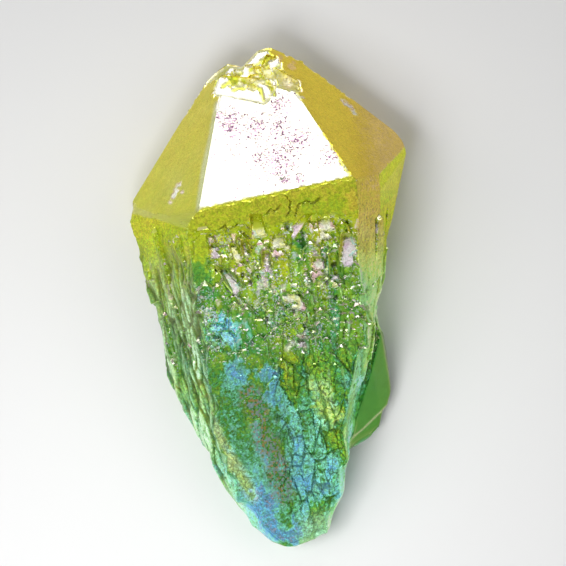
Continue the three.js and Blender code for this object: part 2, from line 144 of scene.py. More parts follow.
CREST_FOLDS = [[(-1.5, 12.35), (-0.9, 12.55), (-0.3, 12.4)],
               [(-0.3, 13.4), (0.6, 12.8), (1.4, 12.0), (1.6, 10.9)],
               [(1.6, 13.8), (2.6, 12.2), (2.8, 11.2)],
               [(-2.6, 12.9), (-1.2, 13.6), (-0.4, 14.2)],
               [(0.6, 14.4), (1.9, 15.2), (3.4, 15.5)]]
YELLOW_STREAK = [(-8.6, -21.0), (-7.3, -25.0), (-5.5, -28.7), (-4.7, -30.8)]
RUSTY_BAND = [(-3.6, -20.0), (-3.3, -21.4), (-2.5, -24.9), (-1.7, -29.0), (-1.4, -31.0)]
LIME_PLATES = [(3.8, -20.2), (4.6, -23.2)]

# Round places on the surface, as [x, y, radius].
LEFT_CORNER = (-13.8, -4.2, 1.4)
BLUE_PATCH = (-6.1, -13.0, 2.4)
DOME = (1.7, -16.3, 1.3)
SMALL_DOME = (2.5, -14.7, 0.4)
TIP_SPOT = (2.4, 2.0, 0.35)
PLAIN_CREST = [(-1.9, 13.7, 1.6), (3.0, 15.6, 1.5)]
ROSY_SPOTS = [(4.4, 12.5, 0.8), (3.9, 15.3, 0.6), (5.1, 14.3, 0.6)]
NICKS = [(-8.8, 2.2, 0.35), (-9.2, 1.7, 0.35), (-8.5, 2.8, 0.3), (-8.2, 1.9, 0.25), (-9.6, 1.1, 0.25),
         (10.2, 10.0, 0.28), (10.5, 9.6, 0.3), (10.8, 9.2, 0.3), (11.1, 8.7, 0.28), (11.3, 8.3, 0.22),
         (5.6, 10.6, 0.25)]
SPECKLES = [(-2.3, 9.0, 1.2), (0.5, 7.8, 1.3), (2.9, 7.6, 1.2), (4.5, 5.8, 1.3), (2.4, 4.0, 1.8),
            (7.6, 3.7, 1.0), (2.6, 2.0, 0.8), (4.0, 1.6, 0.6), (-2.4, 8.0, 0.9), (3.2, 10.0, 1.0),
            (-3.2, 9.6, 0.6), (0.2, 4.4, 0.7)]
SPECKLE_HAZE = (2.0, 6.5, 5.0)

# ---- Named values: the relief, in mm ----

# Column ends of the front: width, length and height.
COARSE_ENDS = (0.9, 3.0, 0.37)
FINE_ENDS = (0.5, 1.4, 0.15)
GRAIN_SIZE = 0.46
GRAIN_SQUEEZE = (1, 0.55, 1)
GRAIN_TILT = 0.2
GRAIN_SINK = 0.05
# Cells with a third size of 9 or 30 lie on a flat chart, where that axis stays 0.
FLAT_CHART = (1, 1, 0)
SLOT_SIZE = (0.75, 1.3, 9.0)
SLOT_DEPTH = 0.3
SEAM_SIZE = (1.5, 6.0, 4.0)
RIB_PITCH = 0.85
RIB_DEPTH = 0.12
DOME_HEIGHT = 0.28
DOME_MOAT = 0.12
PLATE_SIZE = (1.15, 3.1, 9.0)
PLATE_WARP = (0.4, 1.0, 0.4)
PLATE_STEP = 0.22
LOW_SINK = 0.07
CRACK_DEPTH = 0.18
SIDE_RADIUS = 9
STRIP_SIZE = (1.15, 5.4, 30.0)
BLOCK_SIZE = (1.0, 3.2, 30.0)
PIT_SIZE = (0.45, 2.4, 30.0)
SIDE_STEP = 0.2
LEFT_SWELL = 0.22
GROOVE_DEPTH = 0.2
POCK_SIZE = 0.55
POCK_DEPTH = 0.12
CREST_FACET = 1.5
CREST_TILT = 0.4
CREST_SINK = 0.1
FOLD_SIZE = (0.9, 1.8, 1.4)
FOLD_DEPTH = 0.15
CREST_LINE_DEPTH = 0.12
WEAR_DEPTH = 0.08
RIM_STEP = 0.3

# ---- Named values: the coating and the quartz ----

# The coating's colour runs in one order with its thickness, from 0 to 1.
COATING = [
    (0.00, (0.85, 0.58, 0.32)),  # rosy beige
    (0.10, (0.85, 0.60, 0.06)),  # ochre
    (0.20, (0.76, 0.68, 0.05)),  # yellow-olive
    (0.32, (0.52, 0.66, 0.02)),  # lime
    (0.44, (0.22, 0.50, 0.04)),  # leaf green
    (0.54, (0.055, 0.33, 0.045)),  # deep green
    (0.64, (0.22, 0.72, 0.46)),  # turquoise
    (0.74, (0.20, 0.66, 0.72)),  # blue-green
    (0.82, (0.13, 0.45, 0.80)),  # sky blue
    (0.91, (0.36, 0.40, 0.48)),  # grey-violet
    (1.00, (0.90, 0.70, 0.90)),  # lilac
]
# Tones of bright facets, from one to the next: white, lilac, pink, white, yellow, pale blue. Some are the
# crystal's own; on facets that face the lamps and on the tip's front face they are painted glints and a
# painted reflection.
PEARL_AND_GLINT_TONES = [
    (0.0, (0.90, 0.84, 0.94)), (0.3, (0.78, 0.52, 0.82)), (0.5, (0.93, 0.56, 0.66)),
    (0.65, (0.96, 0.95, 0.90)), (0.8, (0.95, 0.90, 0.35)), (1.0, (0.45, 0.72, 0.93)),
]

# The coating's thickness at each y along the crystal.
ALONG = [(-37, 0.40), (-35.5, 0.60), (-33.5, 0.66), (-30, 0.66), (-26, 0.58), (-22, 0.52),
         (-18, 0.50), (-14, 0.48), (-10, 0.44), (-6, 0.36), (-3, 0.31), (0, 0.25), (9, 0.19), (16, 0.17)]

# Streaks and patches of thicker or thinner coating on the front: a path of [x, y], half the
# width, the thickness there, and how strongly it shows.
STREAKS = [
    ([(-4.6, -17.6), (-4.7, -18.8)], 1.1, 0.80, 0.85),
    ([(-1.2, -18.2), (-1.4, -20.4)], 0.9, 0.80, 0.85),
    ([(-7.2, -12.6), (-5.0, -13.2)], 1.2, 0.79, 0.9),
    ([(-6.8, -19.6), (-6.0, -23.6)], 1.5, 0.50, 0.8),
    ([(-5.7, -23.6), (-3.9, -29.5)], 0.7, 0.62, 0.6),
    (YELLOW_STREAK, 0.45, 0.32, 0.7),
    (RUSTY_BAND, 1.0, 0.46, 0.6),
    ([(3.2, -18.2), (5.0, -20.4)], 1.4, 0.43, 0.6),
    ([(0.3, -21.9), (0.5, -27.0), (1.0, -31.0)], 0.7, 0.80, 0.6),
    ([(2.0, -22.5), (2.8, -27.5), (2.0, -32.5)], 1.4, 0.67, 0.5),
    ([(3.6, -20.6), (4.6, -22.8)], 0.9, 0.38, 0.7),
    ([(4.6, -25.2), (4.8, -26.8)], 0.6, 0.42, 0.7),
    ([(4.2, -28.0), (3.0, -31.6)], 0.5, 0.78, 0.6),
    ([(-3.4, -31.8), (-2.9, -34.6), (-1.4, -35.0)], 1.3, 0.86, 0.8),
    ([(1.6, -33.6), (3.4, -32.4)], 0.8, 0.42, 0.5),
    ([(7.4, -6.0), (7.5, -15.5)], 1.0, 0.46, 0.8),
    ([(6.0, -6.0), (6.2, -13.5)], 0.35, 0.56, 0.7),
    ([(-7.6, -6.5), (-7.4, -10.5)], 1.0, 0.60, 0.5),
    ([(3.2, -4.8), (3.8, -6.6)], 0.8, 0.60, 0.5),
    ([(-3.4, -12.0), (-2.8, -14.6)], 1.0, 0.62, 0.55),
    ([(5.0, -1.2), (7.8, -1.4)], 0.9, 0.33, 0.9),
    ([(9.2, -0.4), (9.2, -1.8)], 0.6, 0.16, 0.9),
]
# The coating's thickness at single places.
THINNEST_LOW = 0.41
BEVEL_COAT = 0.11
RIGHT_TIP_COAT = 0.13
FLAKE_COAT = 0.535
FAR_RIGHT_COAT = 0.27
CREST_COAT = 0.24
CREST_LINE_COAT = 0.27
ROSY_COAT = 0.03

CREAM = (0.78, 0.86, 0.62, 1)
MINT = (0.48, 0.80, 0.50, 1)
# Painted glints: pale warm and cool specks that stand in for tiny facets catching the lamps.
PAINTED_WARM_GLINT = (0.92, 0.90, 0.80, 1)
PAINTED_COOL_GLINT = (0.74, 0.80, 0.94, 1)
DARK_FLECK = (0.04, 0.07, 0.02, 1)
VIOLET_FLECK = (0.26, 0.28, 0.38, 1)
RUST_FLECK = (0.36, 0.22, 0.07, 1)
CRAZE_TONE = (0.02, 0.09, 0.03, 1)
HAZE_TONE = (0.72, 0.36, 0.70, 1)
SPECK_TONE = (0.32, 0.10, 0.36, 1)
SPOT_TONE = (0.22, 0.30, 0.24, 1)

# Sizes of the flecks and lines of the material, in mm.
FLECK = 0.2
TINY_FLECK = 0.12
MOTTLE = 0.45
CRAZE_SIZE = 0.75
CRAZE_STRETCH = (1.0, 0.34, 1.0)
SPECK = 0.15
HAZE_SPECK = 0.11
SPECK_STRAND = 0.8
BUMP_HEIGHT = 0.12

QUARTZ_IOR = 1.54
PLAIN_ROUGHNESS = 0.14
CLEAR_SHARE = 0.35
MIRROR_TINT = (1.0, 0.97, 0.5, 1)
GLOSS_ROUGHNESS = 0.06
GLOSS_IOR = 1.5
INSIDE_TONE = (0.75, 0.82, 0.55, 1)
INSIDE_DENSITY = 80


# ---- Frames ----

COS_TILT, SIN_TILT = math.cos(LIE_TILT), math.sin(LIE_TILT)
TURN = np.array([[1, 0, 0], [0, COS_TILT, -SIN_TILT], [0, SIN_TILT, COS_TILT]])
SHIFT = np.array([-ORIGIN_RIGHT, ORIGIN_DOWN, REST_DEPTH * COS_TILT])


def to_row(p):
    """Crystal frame to row frame, mm."""
    return p @ TURN.T + SHIFT


def to_crystal(p):
    """Row frame to crystal frame, mm."""
    return (p - SHIFT) @ TURN


# ---- Patterns, the same on every run ----

def lattice(i, seed):
    """A number in 0..1 for each whole-number lattice point (n, 3)."""
    h = (i[:, 0] * 73856093) ^ (i[:, 1] * 19349663) ^ (i[:, 2] * 83492791) ^ (seed * 2654435761)
    h &= 0xFFFFFFFF
    for _ in range(2):
        h ^= h >> 16
        h = (h * 0x45D9F3B) & 0xFFFFFFFF
    h ^= h >> 16
    return h / 4294967296.0


def noise(p, size, seed):
    """Smooth noise in -1..1 with features of about size (mm, or one for each axis)."""
    q = p / size
    i = np.floor(q).astype(np.int64)
    f = q - i
    f = f * f * (3 - 2 * f)
    total = np.zeros(len(p))
    for corner in itertools.product((0, 1), repeat=3):
        weight = np.prod(np.where(corner, f, 1 - f), axis=1)
        total += weight * lattice(i + np.array(corner), seed)
    return total * 2 - 1


def rough(p, size, seed, octaves=3):
    total = np.zeros(len(p))
    for k in range(octaves):
        total += noise(p, np.asarray(size) / 2 ** k, seed + k) / 2 ** k
    return total / 1.5


def cells(p, size, seed):
    """Irregular cells of about size. Returns the distances to the nearest and next cell point
    in cell sizes, the offset from the nearest, and its lattice point."""
    q = p / size
    base = np.floor(q).astype(np.int64)
    near = nextnear = np.full(len(p), np.inf)
    offset = np.zeros((len(p), 3))
    owner = np.zeros((len(p), 3), np.int64)
    for step in itertools.product((-1, 0, 1), repeat=3):
        cell = base + np.array(step)
        point = np.stack([cell[:, k] + 0.05 + 0.9 * lattice(cell, seed + 11 * k) for k in range(3)], 1)
        away = q - point
        distance = np.linalg.norm(away, axis=1)
        closer = distance < near
        nextnear = np.where(closer, near, np.minimum(nextnear, distance))
        near = np.where(closer, distance, near)
        offset[closer] = away[closer]
        owner[closer] = cell[closer]
    return near, nextnear, offset, owner


def smooth(low, high, value):
    t = np.clip((value - low) / (high - low), 0, 1)
    return t * t * (3 - 2 * t)


def most(*values):
    return functools.reduce(np.maximum, values)


# ---- The fine surface ----

def flat_faces(obj):
    """The CAD mesh with its flat areas as single polygons, in the crystal frame, mm."""
    bm = bmesh.new()
    bm.from_mesh(obj.data)
    bmesh.ops.remove_doubles(bm, verts=bm.verts, dist=1e-6)
    bmesh.ops.dissolve_limit(bm, angle_limit=FLAT_ANGLE, verts=bm.verts, edges=bm.edges)
    bm.verts.index_update()
    bm.edges.index_update()
    verts = to_crystal(np.array([v.co for v in bm.verts]) / MM)
    edges = [tuple(v.index for v in e.verts) for e in bm.edges]
    faces = [[l.vert.index for l in f.loops] for f in bm.faces]
    face_edges = [[l.edge.index for l in f.loops] for f in bm.faces]
    bm.free()
    return verts, edges, faces, face_edges


def face_normal(corners):
    """Newell's normal of a polygon."""
    nxt = np.roll(corners, -1, axis=0)
    n = np.cross(corners, nxt).sum(0)
    return n / max(np.linalg.norm(n), 1e-12)


def spacing_of(normal, middle):
    row_down = normal[2] * COS_TILT + normal[1] * SIN_TILT
    if row_down < -0.98:
        return SPACING["rest"]
    if row_down < -0.1:
        return SPACING["back"]
    if middle[1] > CREST_FROM and max(normal @ v for v in BIG_TIP_FACES) < SAME_FACE[0]:
        return SPACING["crest"]
    if middle[1] > -1 and normal[1] > 0.5 and abs(normal[2]) < 0.9:
        return SPACING["face" if normal[2] > 0.7 else "tip"]
    return SPACING["front"] if normal[2] > 0.55 else SPACING["side"]


def inside_polygon(points, outline):
    """Even-odd test of 2-D points."""
    inside = np.zeros(len(points), bool)
    for (x0, y0), (x1, y1) in zip(outline, np.roll(outline, -1, axis=0)):
        if y0 == y1:
            continue
        crosses = (y0 > points[:, 1]) != (y1 > points[:, 1])
        inside ^= crosses & (points[:, 0] < (x1 - x0) * (points[:, 1] - y0) / (y1 - y0) + x0)
    return inside


def points_between(verts, edges, edge_spacing):
    """New points along every edge. Returns all points, and the new ones' numbers by edge."""
    points = [tuple(v) for v in verts]
    between = []
    for (a, b), h in zip(edges, edge_spacing):
        count = max(1, round(np.linalg.norm(verts[b] - verts[a]) / h))
        between.append(list(range(len(points), len(points) + count - 1)))
        points.extend(tuple(verts[a] + (verts[b] - verts[a]) * k / count) for k in range(1, count))
    return points, between


def inner_grid(flat, h, rng):
    """An uneven triangular grid of 2-D points inside an outline, clear of its rim."""
    low, high = flat.min(0), flat.max(0)
    across = np.arange(low[0], high[0], h)
    rows = np.arange(low[1], high[1], h * math.sqrt(0.75))
    if not len(across) * len(rows):
        return np.zeros((0, 2))
    gx, gy = np.meshgrid(across, rows)
    gx = gx + (np.arange(len(rows)) % 2)[:, None] * h / 2
    grid = np.stack([gx.ravel(), gy.ravel()], 1)
    grid += rng.uniform(-GRID_SHAKE, GRID_SHAKE, grid.shape) * h
    grid = grid[inside_polygon(grid, flat)]
    gap = np.full(len(grid), np.inf)
    for q in flat:
        gap = np.minimum(gap, np.hypot(grid[:, 0] - q[0], grid[:, 1] - q[1]))
    return grid[gap > RIM_CLEARANCE * h]


def filled(flat, rim_count):
    """Triangles between 2-D points, of which the first rim_count are the outline."""
    _, _, tris, origin, _, inside = geometry.delaunay_2d_cdt(
        [Vector(q) for q in flat], [], [list(range(rim_count))], 0, 1e-6, True)
    return [[origin[v][0] for v in tri] for tri, owned in zip(tris, inside) if owned]


def refined(verts, edges, faces, face_edges):
    """Fills every flat polygon with even triangles, keeping its edges straight and sharp.
    Returns the points, the triangles, and each triangle's normal and polygon number."""
    rng = np.random.default_rng(MESH_SEED)
    normals = [face_normal(verts[f]) for f in faces]
    spacings = [spacing_of(n, verts[f].mean(0)) for n, f in zip(normals, faces)]
    edge_spacing = np.full(len(edges), np.inf)
    for h, ring in zip(spacings, face_edges):
        edge_spacing[ring] = np.minimum(edge_spacing[ring], h)
    points, between = points_between(verts, edges, edge_spacing)
    triangles, owners = [], []
    for number, (face, ring, normal, h) in enumerate(zip(faces, face_edges, normals, spacings)):
        rim = []
        for a, e in zip(face, ring):
            rim.append(a)
            rim.extend(between[e] if edges[e][0] == a else between[e][::-1])
        rim_points = np.array([points[i] for i in rim])
        middle = rim_points.mean(0)
        side = np.cross(normal, (0.3, 0.9, 0.1) if abs(normal[1]) < 0.9 else (1, 0, 0))
        side /= np.linalg.norm(side)
        up = np.cross(normal, side)
        flat = np.stack([(rim_points - middle) @ side, (rim_points - middle) @ up], 1)
        grid = inner_grid(flat, h, rng)
        ids = rim + list(range(len(points), len(points) + len(grid)))
        points.extend(tuple(middle + side * gx + up * gy) for gx, gy in grid)
        for tri in filled(np.concatenate([flat, grid]), len(rim)):
            corner = [ids[k] for k in tri]
            if len(set(corner)) == 3:
                triangles.append(corner)
                owners.append(number)
    return np.array(points), np.array(triangles), np.array(normals)[owners], np.array(owners)


def crosses_of(points, triangles):
    corners = points[triangles]
    return np.cross(corners[:, 1] - corners[:, 0], corners[:, 2] - corners[:, 0])


def unit(v):
    return v / np.maximum(np.linalg.norm(v, axis=1), 1e-12)[:, None]


def normals_of(points, triangles):
    return unit(crosses_of(points, triangles))


def vertex_normals(points, triangles, tri_normals):
    """Each point's normal, from the given normals of its triangles by their areas."""
    area = np.linalg.norm(crosses_of(points, triangles), axis=1)
    total = np.zeros_like(points)
    for k in range(3):
        np.add.at(total, triangles[:, k], tri_normals * area[:, None])
    return unit(total)


def softened(values, triangles, share, rounds):
    """Each point's row of values drawn towards its neighbours' by its share, this many times."""
    pairs = np.concatenate([triangles[:, [0, 1]], triangles[:, [1, 2]], triangles[:, [2, 0]]])
    count = np.maximum(np.bincount(pairs[:, 0], minlength=len(values)), 1)
    for _ in range(rounds):
        middle = np.stack([np.bincount(pairs[:, 0], column[pairs[:, 1]], len(values))
                           for column in values.T], 1) / count[:, None]
        values = values + (middle - values) * share[:, None]
    return values


# ---- Places and zones ----

def blobs(p, places):
    """1 near any of the places [x, y, radius] seen along z, falling to 0."""
    total = np.zeros(len(p))
    for x, y, radius in places:
        total = np.maximum(total, np.exp(-((p[:, 0] - x) ** 2 + (p[:, 1] - y) ** 2) / radius ** 2))
    return total


def line_distance(p, path):
    """Distance in mm, seen along z, from a bent line."""
    best = np.full(len(p), np.inf)
    for start, end in zip(path, path[1:]):
        a, along = np.array(start), np.array(end) - np.array(start)
        t = np.clip(((p[:, :2] - a) @ along) / (along @ along), 0, 1)
        best = np.minimum(best, np.linalg.norm(p[:, :2] - a - t[:, None] * along, axis=1))
    return best


def on_lines(p, paths, edge, core, shake=0.0):
    """1 within core mm of any of the lines, falling to 0 at edge mm. shake makes them ragged."""
    return smooth(edge, core, np.min([line_distance(p, path) for path in paths], axis=0) + shake)


def same_face(n, direction):
    """1 where a surface looks the way that a big face of the tip does."""
    return smooth(*SAME_FACE, n @ direction)


def zones_of(p, n, wobble):
    """How much each point belongs to each kind of surface, 0..1."""
    x, y, z = p.T
    rest = smooth(-0.93, -0.98, n[:, 2] * COS_TILT + n[:, 1] * SIN_TILT)
    facet = smooth(0.27, 0.33, n[:, 1])
    tip = facet * smooth(-1.0, 0.2, y)
    big_face = np.max([same_face(n, v) for v in BIG_TIP_FACES], axis=0)
    crest = tip * smooth(CREST_FROM, CREST_FROM + 0.6, y) * (1 - big_face) * smooth(-0.3, 0.0, n[:, 2])
    front = smooth(0.72, 0.9, n[:, 2]) * (1 - facet)
    band = front * smooth(-3.4, -2.2, y + 0.5 * wobble)
    band = most(band, front * smooth(-5.9, -6.6, x + 0.3 * wobble) * smooth(-9.5, -7.5, y))
    low = front * smooth(-14.0, -18.0, y + 1.2 * wobble)
    mid = front * (1 - band) * (1 - low)
    flake = smooth(5.0, 6.5, x + 0.1 * y + 2.2) * smooth(-14.2, -16.0, y) * smooth(0.45, 0.6, n[:, 0])
    flake = flake * smooth(3.3, 2.9, z)
    left = smooth(-0.5, -0.7, n[:, 0]) * (1 - facet)
    right = smooth(0.5, 0.7, n[:, 0]) * (1 - facet) * (1 - flake)
    bevel = right * smooth(0.92, 0.84, n[:, 0]) * smooth(3.5, 4.5, z)
    back = smooth(-0.2, -0.45, n[:, 2]) * (1 - rest) * smooth(1.0, -1.5, y)
    return SimpleNamespace(rest=rest, tip=tip, crest=crest, band=band, mid=mid, low=low, flake=flake,
                           left=left, right=right, bevel=bevel, back=back)


class Surface:
    """Points of the crystal with their normals, their zones, and the noises that they share."""

    def __init__(self, p, n):
        self.p, self.n = p, n
        self.x, self.y, self.z = p.T
        self.wobble = rough(p, 2.2, 31)
        self.warp = np.stack([noise(p, 2.5, seed) for seed in (201, 202, 203)], 1)
        self.at = zones_of(p, n, self.wobble)


# ---- Relief ----
# Each carving returns how far it moves each point along its normal, in mm, and how deep in a
# groove or crack it puts it, 0..1, which darkens the colour there as painted shade. It adds to
# ids what the colours read.

def shingles(p, width, length, height, seed):
    """Rows of little column ends: each rises along +Y, then drops as steeply as the tip's front
    face. Returns the height in mm and a random number for each column end."""
    wave = np.stack([noise(p, 1.7, seed), noise(p, 1.7, seed + 1), np.zeros(len(p))], 1)
    q = p + wave * np.array([0.35 * width, 0.3 * length, 0])
    zero = np.zeros(len(p), np.int64)
    column = np.floor(q[:, 0] / width).astype(np.int64)
    phase = lattice(np.stack([column, zero, zero], 1), seed + 2)
    along = q[:, 1] / length + phase * 5
    row = np.floor(along).astype(np.int64)
    cut = 0.3 + 0.5 * lattice(np.stack([column, row, zero], 1), seed + 3)
    f = along - row
    number = lattice(np.stack([column, row, (f > cut).astype(np.int64)], 1), seed + 4)
    start = np.where(f > cut, cut, 0)
    stop = np.where(f > cut, 1, cut)
    size = height * (0.35 + 0.65 * number)
    rise = (f - start) / (stop - start)
    drop = (stop - f) * length * math.tan(RHOMB)
    return np.minimum(size * rise, drop), number


def tilted(offset, owner, seed):
    """The height of each point on its cell's facet, which leans its own way."""
    tilt = np.stack([lattice(owner, seed + k) - 0.5 for k in range(3)], 1)
    return (offset * tilt).sum(1)


def column_ends(s, ids):
    """The middle of the front: rows of coarse and fine column ends."""
    coarse, ids.coarse = shingles(s.p, *COARSE_ENDS, 101)
    fine, ids.fine = shingles(s.p, *FINE_ENDS, 131)
    return s.at.mid * (coarse - COARSE_ENDS[2] + fine - FINE_ENDS[2]), 0


def chipped_grains(s, ids):
    """Grains all over the rough parts, some of them pearly: pale and lighter, partly the coating's pearly
    tone and partly painted sparkle.
    """
    near, nextnear, offset, owner = cells(s.p * GRAIN_SQUEEZE, GRAIN_SIZE, 151)
    ids.chip = lattice(owner, 165)
    smoother = smooth(-0.05, 0.2, rough(s.p, (1.8, 3.6, 2.0), 155))
    on_ribs = smooth(1.3, 0.8, np.abs(s.x - RIBBED_COLUMN)) * smooth(-4.5, -6.0, s.y)
    grainy = s.at.mid * (0.3 + 0.7 * ids.coarse) * (1 - 0.75 * smoother) * (1 - 0.75 * on_ribs)
    grainy += 0.35 * s.at.low + 0.1 * s.at.band
    ids.grainy = grainy
    off_column = 1 - 0.8 * smooth(6.0, 6.5, s.x) * smooth(-4.5, -6.0, s.y)
    on_left = 0.5 * s.at.left * smooth(-3.5, -5, s.y) * (ids.chip > 0.5)
    pearly = (lattice(owner, 166) > 0.83) * smooth(-15.0, -7.0, s.y)
    ids.pearly = pearly * (s.at.mid * off_column + on_left)
    # Grain borders count as shallow grooves, so painted shade outlines each grain.
    rim = smooth(0.10, 0.03, nextnear - near)
    return grainy * (GRAIN_TILT * tilted(offset, owner, 160) - GRAIN_SINK), 0.6 * rim * grainy


def ribs(s, ids):
    """Ribs across the right-hand column."""
    ribbed = s.at.mid * smooth(1.1, 0.7, np.abs(s.x - RIBBED_COLUMN))
    ribbed *= smooth(-6.5, -7.5, s.y) * smooth(-17, -15.5, s.y)
    wave = np.cos(2 * math.pi * (s.y + 0.25 * s.wobble) / RIB_PITCH)
    return -RIB_DEPTH * ribbed * smooth(0.4, 1.0, wave), 0


def domes(s, ids):
    """A dome with a smaller one above it, each with a shallow moat."""
    move = np.zeros(len(s.p))
    for x, y, radius in (DOME, SMALL_DOME):
        far = np.hypot(s.x - x, s.y - y) / radius + 0.06 * s.wobble
        move += DOME_HEIGHT * radius ** 0.5 * np.sqrt(np.clip(1 - far ** 2, 0, 1))
        move -= DOME_MOAT * smooth(0.25, 0.1, np.abs(far - 1.12))
    return move * (s.at.mid + s.at.low), 0


def slots(s, ids):
    """Etch pits in the middle: short slots along the c-axis and ragged seams, darkened with painted
    shade.
    """
    near, _, _, owner = cells(s.p * FLAT_CHART, SLOT_SIZE, 171)
    slot = smooth(0.30, 0.16, near) * (lattice(owner, 172) > 0.66)
    seam = smooth(0.05, 0.01, np.abs(rough(s.p, SEAM_SIZE, 175, 2)))
    seam *= smooth(0.0, 0.3, noise(s.p, (1.2, 2.2, 2.0), 178))
    slot = most(slot, 0.8 * seam) * s.at.mid
    return -SLOT_DEPTH * slot, slot


def cracked_plates(s, ids):
    """Plates with thin cracks between them at the lower right."""
    near, nextnear, _, owner = cells((s.p + s.warp * PLATE_WARP) * FLAT_CHART, PLATE_SIZE, 211)
    plates = s.at.low * smooth(-2.2, -0.4, s.x + 0.5 * s.wobble)
    ids.plate, ids.plates = lattice(owner, 217), plates
    crack = plates * smooth(0.085, 0.03, nextnear - near + 0.04 * s.wobble)
    crack *= smooth(0.15, 0.4, lattice(owner, 219) + 0.3 * s.wobble) * smooth(-34, -32, s.y)
    move = PLATE_STEP * plates * (ids.plate - 1) + LOW_SINK * s.at.low * (s.wobble - 1)
    return move - CRACK_DEPTH * crack, 0.75 * crack


def band_cracks(s, ids):
    """Cracks in the smooth band under the shoulder."""
    crack = on_lines(s.p + 0.35 * rough(s.p, 0.7, 251)[:, None], BAND_CRACKS, 0.13, 0.05)
    crack *= smooth(0.5, 0.8, s.n[:, 2])
    return -CRACK_DEPTH * crack, 0.75 * crack


def side_strips(s, ids):
    """The sides and back: strips and blocks along the c-axis with grooves and pits between."""
    at = s.at
    around = SIDE_RADIUS * np.arctan2(s.x, s.z)
    chart = np.stack([around + 0.3 * s.warp[:, 0], s.y + 1.2 * s.warp[:, 1], np.zeros(len(s.p))], 1)
    near, nextnear, _, owner = cells(chart, STRIP_SIZE, 231)
    strip = lattice(owner, 237)
    groove = smooth(0.16, 0.05, nextnear - near)
    groove *= smooth(-0.7, -0.2, rough(s.p, (1.5, 4.0, 1.5), 233))
    near, nextnear, _, owner = cells(chart, BLOCK_SIZE, 245)
    block = lattice(owner, 246)
    groove = most(groove, 0.6 * smooth(0.14, 0.04, nextnear - near))
    near, _, _, owner = cells(chart, PIT_SIZE, 241)
    pit = smooth(0.36, 0.22, near) * (lattice(owner, 243) > 0.68)
    ids.strip = 0.6 * strip + 0.4 * block
    sides = most(
        at.left * smooth(-2.5, -9, s.y + 1.5 * s.wobble),
        at.right * smooth(-3, -8, s.y + 1.5 * s.wobble) * (1 - 0.6 * at.bevel),
        0.7 * at.back * (1 - at.tip),
    )
    groove = most(groove, pit) * sides * (1 - 0.8 * smooth(-28, -31, s.y))
    move = LEFT_SWELL * at.left * smooth(-5, -8, s.y) * smooth(-28, -24, s.y)
    move += SIDE_STEP * sides * (strip + block - 2) * smooth(-32, -28, s.y)
    return move - GROOVE_DEPTH * groove, groove


def crest_facets(s, ids):
    """The broken crest: small shell-like facets with folds between them."""
    _, _, offset, owner = cells(s.p + 0.3 * s.warp, CREST_FACET, 271)
    fold = np.abs(rough(s.p, FOLD_SIZE, 281, 2))
    ids.fold = smooth(0.1, 0.02, fold)
    move = CREST_TILT * tilted(offset, owner, 275) - CREST_SINK - FOLD_DEPTH * smooth(0.12, 0.0, fold)
    return s.at.crest * (move + 0.1 * rough(s.p, 0.5, 285)), 0


def crest_folds(s, ids):
    """The crest's longer folds, at their places."""
    line = on_lines(s.p, CREST_FOLDS, 0.3, 0.1, 0.12 * rough(s.p, 0.5, 297))
    line *= s.at.tip * smooth(CREST_FROM, CREST_FROM + 0.6, s.y) * smooth(0.3, 0.5, s.n[:, 2])
    ids.crest_line = line
    return -CREST_LINE_DEPTH * line, 0


def worn_edges(s, ids):
    """Worn edges of the tip's front face."""
    wear = on_lines(s.p, WORN_EDGES, 0.22, 0.08, 0.3 * rough(s.p, 0.6, 295))
    wear *= smooth(0.5, 0.7, s.n[:, 2])
    ids.edge_wear = most(wear, ids.crest_line)
    return -WEAR_DEPTH * wear, 0


def flake_step(s, ids):
    """The flake is thinner below its chipped rim."""
    (x0, y0), (x1, y1) = FLAKE_RIM[0], FLAKE_RIM[-1]
    above = ((x1 - x0) * (s.y - y0) - (y1 - y0) * (s.x - x0)) / math.hypot(x1 - x0, y1 - y0)
    return -RIM_STEP * s.at.flake * smooth(0.1, -0.25, above), 0


def nicks(s, ids):
    """Nicks in the tip's side faces."""
    ids.nick = smooth(0.45, 0.7, blobs(s.p, NICKS) + 0.35 * noise(s.p, 0.3, 291)) * s.at.tip
    return -WEAR_DEPTH * ids.nick, 0


def pocks(s, ids):
    """Small pits of the bevel, the left side and the tip."""
    at = s.at
    near, _, _, owner = cells(s.p, POCK_SIZE, 261)
    pock = smooth(0.34, 0.2, near) * (lattice(owner, 262) > 0.8)
    pock *= (at.bevel * smooth(1, -4, s.y) + 0.7 * at.left * smooth(-0.5, -2.5, s.y)
             + 0.15 * at.tip * (1 - at.crest))
    return -POCK_DEPTH * pock, 0.8 * pock


CARVINGS = (column_ends, chipped_grains, ribs, domes, slots, cracked_plates, band_cracks, side_strips,
            crest_facets, crest_folds, worn_edges, flake_step, nicks, pocks)


def relief(s):
    """All carvings together: how far each point moves, how deep it lies, and the ids."""
    move, depth, ids = np.zeros(len(s.p)), np.zeros(len(s.p)), SimpleNamespace()
    for carving in CARVINGS:
        one_move, one_depth = carving(s, ids)
        move += one_move
        depth = most(depth, one_depth)
    return move * (1 - s.at.rest), depth, ids


# ---- Colour ----

